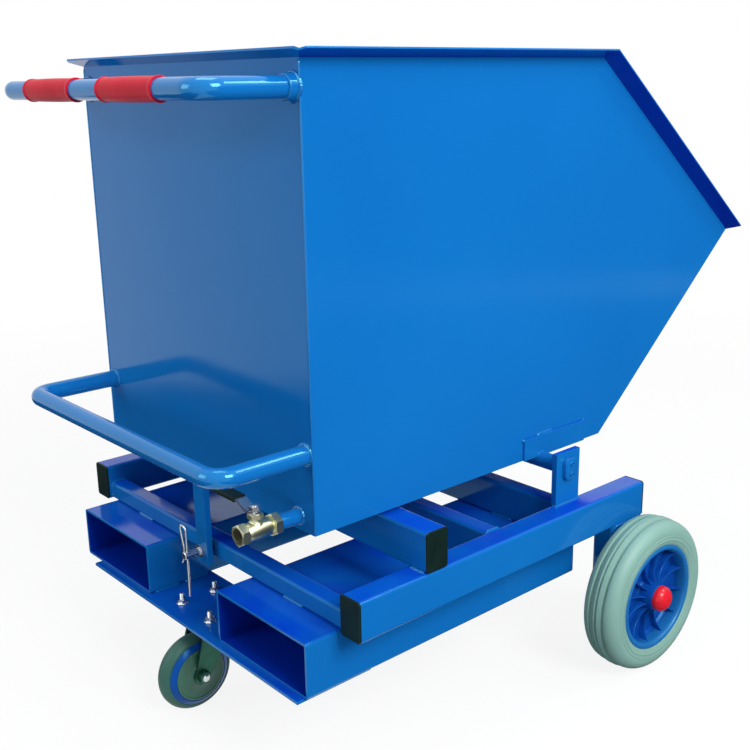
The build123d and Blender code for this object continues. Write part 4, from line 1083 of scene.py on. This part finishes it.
# Fasteners
class HOPPER_OT_fasteners(bpy.types.Operator):
    """Pivot bolts with keeper plates and screws, castor bolts and nuts with turned corners and threads"""
    bl_idname = "hopper.fasteners"
    bl_label = "Fasteners"

    def execute(self, context):
        self.pivot_bolts()
        self.castor_bolts()
        return {"FINISHED"}

    def pivot_bolts(self):
        """Shanks with a rounded keeper plate, held by two screws, on each side."""
        low, high = box_mm("pivot_bolts")
        lug_y = box_mm("pivot_lugs")[1].y
        wide, tall = high.x - low.x, high.z - low.z
        middle_x, middle_z = (low.x + high.x) / 2, (low.z + high.z) / 2
        foot_y = lug_y + PIVOT_HEAD_GAP
        thick = high.y - foot_y
        tail = PIVOT_HEAD_GAP + PIVOT_SHANK_LENGTH + 1
        rounding = ((0.3, 0), (0, 0.3), (0, thick - PIVOT_EDGE),
                    (PIVOT_EDGE * 0.3, thick - PIVOT_EDGE * 0.3), (PIVOT_EDGE, thick))
        shank = [(0, 0), (PIVOT_SHANK - 1, 0), (PIVOT_SHANK, 1), (PIVOT_SHANK, tail), (0, tail)]
        screw = [(0, -1), (4.2, -1), (4.2, 0.8), (3.6, 1.9), (2.2, 2.4), (2.1, 0.6), (0, 0.6)]
        bm = bmesh.new()
        for side in (-1, 1):
            outward = Y_AXIS * side
            foot = Vector((middle_x, side * foot_y, middle_z))
            rows = []
            for inset, along in rounding:
                outline = rounded_outline(wide - 2 * inset, tall - 2 * inset, PIVOT_CORNER - inset)
                rows.append([foot + X_AXIS * out + Z_AXIS * up + outward * along for out, up in outline])
            wrap(bm, rows)
            end = Vector((middle_x, side * (lug_y - PIVOT_SHANK_LENGTH), middle_z))
            turn(bm, shank, end, outward, SHAFT_STEPS)
            for rise in (-PIVOT_SCREW_RISE, PIVOT_SCREW_RISE):
                turn(bm, screw, foot + outward * thick + Z_AXIS * rise, outward, SCREW_STEPS)
        finish_piece("pivot_bolts_plated", bm, "tube", "hopper", ("pivot_bolts",))

    def castor_bolts(self):
        """Threaded bolts through the castor's top plate, with washers and nuts."""
        bolt_low, bolt_high = box_mm("castor_bolts")
        nut_low, nut_high = box_mm("castor_nuts")
        plate_z = box_mm("castor_top_plate")[0].z
        across = BOLT_FLATS / cos(pi / 6)
        top = bolt_high.z - plate_z
        start = nut_low.z - plate_z
        thread = [(0, 0), (BOLT_SHANK - 0.1, 0)]
        for n in range(int((top - start - 1) / BOLT_PITCH)):
            thread += [(BOLT_SHANK - 0.65, start + n * BOLT_PITCH),
                       (BOLT_SHANK - 0.05, start + (n + 0.5) * BOLT_PITCH)]
        thread += [(BOLT_SHANK - 0.9, top), (0, top)]
        washer = [(BOLT_SHANK, 0), (9, 0), (9.4, 0.5), (9, 1.3), (BOLT_SHANK, 1.3)]
        bolts, nuts = bmesh.new(), bmesh.new()
        for x in (bolt_low.x + across / 2, bolt_high.x - across / 2):
            for y in (bolt_low.y + BOLT_FLATS / 2, bolt_high.y - BOLT_FLATS / 2):
                seat = Vector((x, y, plate_z))
                hexagon(bolts, seat, -Z_AXIS, X_AXIS, BOLT_FLATS, plate_z - bolt_low.z)
                turn(bolts, thread, seat, Z_AXIS, SCREW_STEPS)
                foot = Vector((x, y, nut_low.z))
                hexagon(nuts, foot, Z_AXIS, X_AXIS, BOLT_FLATS, nut_high.z - nut_low.z, BOLT_SHANK)
                turn(nuts, washer, foot, Z_AXIS, WASHER_STEPS)
        finish_piece("castor_bolts_threaded", bolts, "zinc", "chassis", ("castor_bolts",))
        finish_piece("castor_nuts_cut", nuts, "zinc", "chassis", ("castor_nuts",))


# Ball valve
class HOPPER_OT_valve(bpy.types.Operator):
    """Ball valve body with its inside thread, gland nut and lever nut"""
    bl_idname = "hopper.valve"
    bl_label = "Ball valve"

    def execute(self, context):
        low, high = box_mm("valve_body")
        stub_low, stub_high = box_mm("drain_stub")
        stem_low, stem_high = box_mm("valve_stem")
        outlet = Vector((low.x, (stub_low.y + stub_high.y) / 2, (stub_low.z + stub_high.z) / 2))
        stem_x = (stem_low.x + stem_high.x) / 2
        length = high.x - low.x
        pipe = (stub_high.z - stub_low.z) / 2 + 0.1
        bm = bmesh.new()
        turn(bm, self.barrel(length, stem_x - low.x), outlet, X_AXIS, VALVE_STEPS)
        hexagon(bm, outlet, X_AXIS, Z_AXIS, VALVE_OUTLET_FLATS, VALVE_HEX_LENGTH, VALVE_THREAD)
        inlet = outlet + X_AXIS * (length - VALVE_HEX_LENGTH)
        hexagon(bm, inlet, X_AXIS, Z_AXIS, VALVE_INLET_FLATS, VALVE_HEX_LENGTH, pipe)
        bonnet = Vector((stem_x, outlet.y, outlet.z + BONNET_RISE))
        top = high.z - bonnet.z
        neck = [(STEM_HOLE, 0), (10.5, 0), (9.4, 2.5), (8, 4.5), (8, top), (STEM_HOLE, top)]
        turn(bm, neck, bonnet, Z_AXIS, SHAFT_STEPS)
        finish_piece("valve_body_cast", bm, "valve", "hopper", ("valve_body",))
        turned_piece("valve_thread", [(self.thread(), outlet, X_AXIS)], THREAD_STEPS, "bore", "hopper")

        for node, body, slot, finish in (("valve_gland_nut", "hopper", "nickel_brass", "valve"),
                                         ("lever_nut", "valve_handle", "zinc", "zinc")):
            nut_low, nut_high = box_mm(node)
            bm = bmesh.new()
            foot = Vector((stem_x, outlet.y, nut_low.z))
            hexagon(bm, foot, Z_AXIS, Y_AXIS, nut_high.x - nut_low.x, nut_high.z - nut_low.z, STEM_HOLE)
            finish_piece(node + "_cut", bm, finish, body, (node,))
        return {"FINISHED"}

    def barrel(self, length, ball):
        """Section of the cast barrel between the two hexagons, swollen over the ball."""
        start, end = VALVE_HEX_LENGTH, length - VALVE_HEX_LENGTH
        outline = [(VALVE_BORE, start - 1), (VALVE_NECK, start - 1), (VALVE_NECK, start + 2)]
        outline += arc_profile((VALVE_NECK + 0.4, start + 3), (VALVE_NECK + 1.3, ball),
                               (VALVE_NECK + 0.4, end - 3), 12)
        return outline + [(VALVE_NECK, end - 2), (VALVE_NECK, end + 1), (VALVE_BORE, end + 1)]

    def thread(self):
        """Section of the ridges inside the outlet."""
        first, deep = 1.1, 10.9
        ridges = [(VALVE_BORE, deep), (VALVE_THREAD + 0.6, deep), (VALVE_THREAD + 0.6, 0.9)]
        for n in range(VALVE_RIDGES):
            root = first + VALVE_PITCH * n
            ridges += [(VALVE_THREAD - 0.1, root), (VALVE_THREAD - 0.9, root + VALVE_PITCH / 2)]
        return ridges + [(VALVE_THREAD - 0.3, 10.3), (VALVE_BORE, 10.3)]


# Stage: lamps, given by place and width in metres and by the setting that holds the power
LAMPS = {
    "key_lamp": ((-0.4, -2.9, 2.4), 1.5, "key_power"),
    "rear_lamp": ((-3.3, 0.9, 1.7), 1.6, "rear_power"),
    "top_lamp": ((-0.2, 0.2, 3.4), 1.4, "top_power"),
    "edge_lamp": ((1.4, -1.7, 2.9), 0.8, "edge_power"),
}
LAMP_TARGET = Vector((0, 0, 0.45))

# Cards, given by middle, the two directions of their sides and half the length of each side
SIDE_ALONG, SIDE_AWAY = Vector((0.77, 0.64, 0)), Vector((0.64, -0.77, 0))
LEFT_ALONG, LEFT_AWAY = Vector((-0.785, 0.62, 0)), Vector((0.62, 0.785, 0))
CARDS = {
    "left_card": (Vector((-1.15, 0.70, 0.004)), LEFT_ALONG, LEFT_AWAY, 0.72, 1.2),
    "side_card": (Vector((2.3, -2.7, 1.0)), SIDE_ALONG, Z_AXIS, 3.0, 1.0),
    "ground_card": (Vector((1.06, -1.40, 0.004)), SIDE_ALONG, SIDE_AWAY, 2.2, 1.60),
}
CARD_DARK = (0.02, 0.03, 0.05, 1)

# Floor: half its width, its colour as seen and as it lights the hopper from below, and two distances,
# between which its shadow gives way to plain white
FLOOR_HALF = 30.0
FLOOR_PALE = (0.94, 0.95, 0.95, 1)
FLOOR_BOUNCE = (0.40, 0.42, 0.44, 1)
SHADOW_REACH = 1.2
FLOOR_WHITE = 3.0
WORLD_COLOUR = (0.93, 0.98, 1.0, 1)
WHITE = (1, 1, 1, 1)


class HOPPER_OT_stage(bpy.types.Operator):
    """Pale floor, dark cards for the gloss, soft lamps and the camera at the photograph's angle"""
    bl_idname = "hopper.stage"
    bl_label = "Stage"

    def execute(self, context):
        look = context.scene.hopper_stage
        self.floor(look)
        self.cards()
        self.world(context.scene, look)
        for name, (place, width, power) in LAMPS.items():
            self.lamp(name, Vector(place), width, getattr(look, power))
        self.camera(context.scene, look)
        context.scene.view_settings.view_transform = "Standard"
        return {"FINISHED"}

    def plane(self, name, matrix, material):
        """Flat stage piece, made from a square of two metres."""
        bm = bmesh.new()
        bmesh.ops.create_grid(bm, x_segments=1, y_segments=1, size=1, matrix=matrix)
        mesh = bpy.data.meshes.new(name)
        bm.to_mesh(mesh)
        bm.free()
        mesh.materials.append(material)
        piece = bpy.data.objects.new(name, mesh)
        bpy.context.scene.collection.objects.link(piece)
        return piece

    def seen(self, tree):
        """One for rays that show the background: from the camera, a mirror or glass."""
        path = put(tree, "ShaderNodeLightPath").outputs
        seen = maths(tree, "MAXIMUM", path["Is Camera Ray"], path["Is Glossy Ray"])
        return maths(tree, "MAXIMUM", seen, path["Is Transmission Ray"])

    def floor(self, look):
        """Pale floor that keeps the shadow near the hopper and turns white further out."""
        material, tree, shader = new_material("pale_floor", {"Roughness": 0.9, "Specular IOR Level": 0.0})
        bounced = put(tree, "ShaderNodeLightPath").outputs["Is Diffuse Ray"]
        colour = mix_colour(tree, bounced, FLOOR_PALE, FLOOR_BOUNCE)
        tree.links.new(colour, shader.inputs["Base Color"])
        glow = put(tree, "ShaderNodeEmission", {"Color": WHITE, "Strength": 1.0})
        place = put(tree, "ShaderNodeTexCoord").outputs["Object"]
        distance = put(tree, "ShaderNodeVectorMath", {0: place}, operation="LENGTH").outputs["Value"]
        white = ranged(tree, distance, SHADOW_REACH, FLOOR_WHITE, look.floor_glow)
        share = maths(tree, "MULTIPLY", self.seen(tree), white)
        blend = put(tree, "ShaderNodeMixShader", {0: share, 1: shader.outputs[0], 2: glow.outputs[0]})
        tree.links.new(blend.outputs[0], tree.nodes["Material Output"].inputs["Surface"])
        self.plane("floor", Matrix.Diagonal((FLOOR_HALF, FLOOR_HALF, 1, 1)), material)

    def cards(self):
        """Dark cards that only mirrors see, as a studio uses to deepen a gloss paint."""
        material = new_material("dark_card", {"Base Color": CARD_DARK, "Roughness": 0.9,
                                              "Specular IOR Level": 0.0})[0]
        for name, (middle, along, up, half_length, half_height) in CARDS.items():
            basis = Matrix((along, up, along.cross(up))).transposed().to_4x4()
            size = Matrix.Diagonal((half_length, half_height, 1, 1))
            card = self.plane(name, Matrix.Translation(middle) @ basis @ size, material)
            card.visible_camera = card.visible_diffuse = card.visible_shadow = False

    def world(self, scene, look):
        """Even light from all round, which shows as plain white."""
        world = bpy.data.worlds.new("studio")
        world.use_nodes = True
        tree = world.node_tree
        light = tree.nodes["Background"]
        light.inputs["Color"].default_value = WORLD_COLOUR
        light.inputs["Strength"].default_value = look.world_level
        white = put(tree, "ShaderNodeBackground", {"Color": WHITE, "Strength": 1.0})
        blend = put(tree, "ShaderNodeMixShader",
                    {0: self.seen(tree), 1: light.outputs[0], 2: white.outputs[0]})
        tree.links.new(blend.outputs[0], tree.nodes["World Output"].inputs["Surface"])
        scene.world = world

    def lamp(self, name, place, width, power):
        """Square soft lamp that faces the hopper."""
        data = bpy.data.lights.new(name, "AREA")
        data.shape = "SQUARE"
        data.size = width
        data.energy = power
        lamp = bpy.data.objects.new(name, data)
        bpy.context.scene.collection.objects.link(lamp)
        lamp.location = place
        lamp.rotation_euler = (LAMP_TARGET - place).to_track_quat("-Z", "Y").to_euler()

    def camera(self, scene, look):
        """Camera at the photograph's angle, turned, tilted and leaned."""
        data = bpy.data.cameras.new("camera")
        data.sensor_width = 36
        data.lens = look.lens
        data.clip_end = 100
        camera = bpy.data.objects.new("camera", data)
        scene.collection.objects.link(camera)
        turned, tilt, roll = look.camera_turn, look.camera_tilt, look.camera_roll
        ahead = Vector((sin(turned) * cos(tilt), cos(turned) * cos(tilt), -sin(tilt)))
        right = Vector((cos(turned), -sin(turned), 0))
        up = right.cross(ahead)
        leaned = right * cos(roll) + up * sin(roll)
        upright = up * cos(roll) - right * sin(roll)
        basis = Matrix((leaned, upright, -ahead)).transposed().to_4x4()
        camera.matrix_world = Matrix.Translation(Vector(look.camera_place)) @ basis
        scene.camera = camera


# Sidebar and registration
class HOPPER_PT_panel(bpy.types.Panel):
    """Lists the hopper's settings and its steps"""
    bl_idname = "HOPPER_PT_panel"
    bl_label = "Tipping hopper"
    bl_space_type = "VIEW_3D"
    bl_region_type = "UI"
    bl_category = "Hopper"

    def draw(self, context):
        for group in SETTINGS:
            settings = getattr(context.scene, group)
            box = self.layout.box()
            for name in settings.bl_rna.properties.keys():
                if name not in ("rna_type", "name"):
                    box.prop(settings, name)
        for step in STEPS:
            self.layout.operator(step.bl_idname)


SETTINGS = {"hopper_paint": HopperPaintSettings, "hopper_trim": HopperTrimSettings,
            "hopper_welds": HopperWeldSettings, "hopper_stage": HopperStageSettings}
STEPS = (HOPPER_OT_stage, HOPPER_OT_kept_shapes, HOPPER_OT_sheets, HOPPER_OT_end_caps, HOPPER_OT_welds,
         HOPPER_OT_wheels, HOPPER_OT_castor, HOPPER_OT_grips, HOPPER_OT_fasteners, HOPPER_OT_valve)


def register():
    for name, group in SETTINGS.items():
        bpy.utils.register_class(group)
        setattr(bpy.types.Scene, name, PointerProperty(type=group))
    for step in STEPS:
        bpy.utils.register_class(step)
    bpy.utils.register_class(HOPPER_PT_panel)


def unregister():
    bpy.utils.unregister_class(HOPPER_PT_panel)
    for step in reversed(STEPS):
        bpy.utils.unregister_class(step)
    for name, group in SETTINGS.items():
        delattr(bpy.types.Scene, name)
        bpy.utils.unregister_class(group)


def main():
    register()
    for step in STEPS:
        family, name = step.bl_idname.split(".")
        getattr(getattr(bpy.ops, family), name)()


if __name__ == "__main__":
    main()
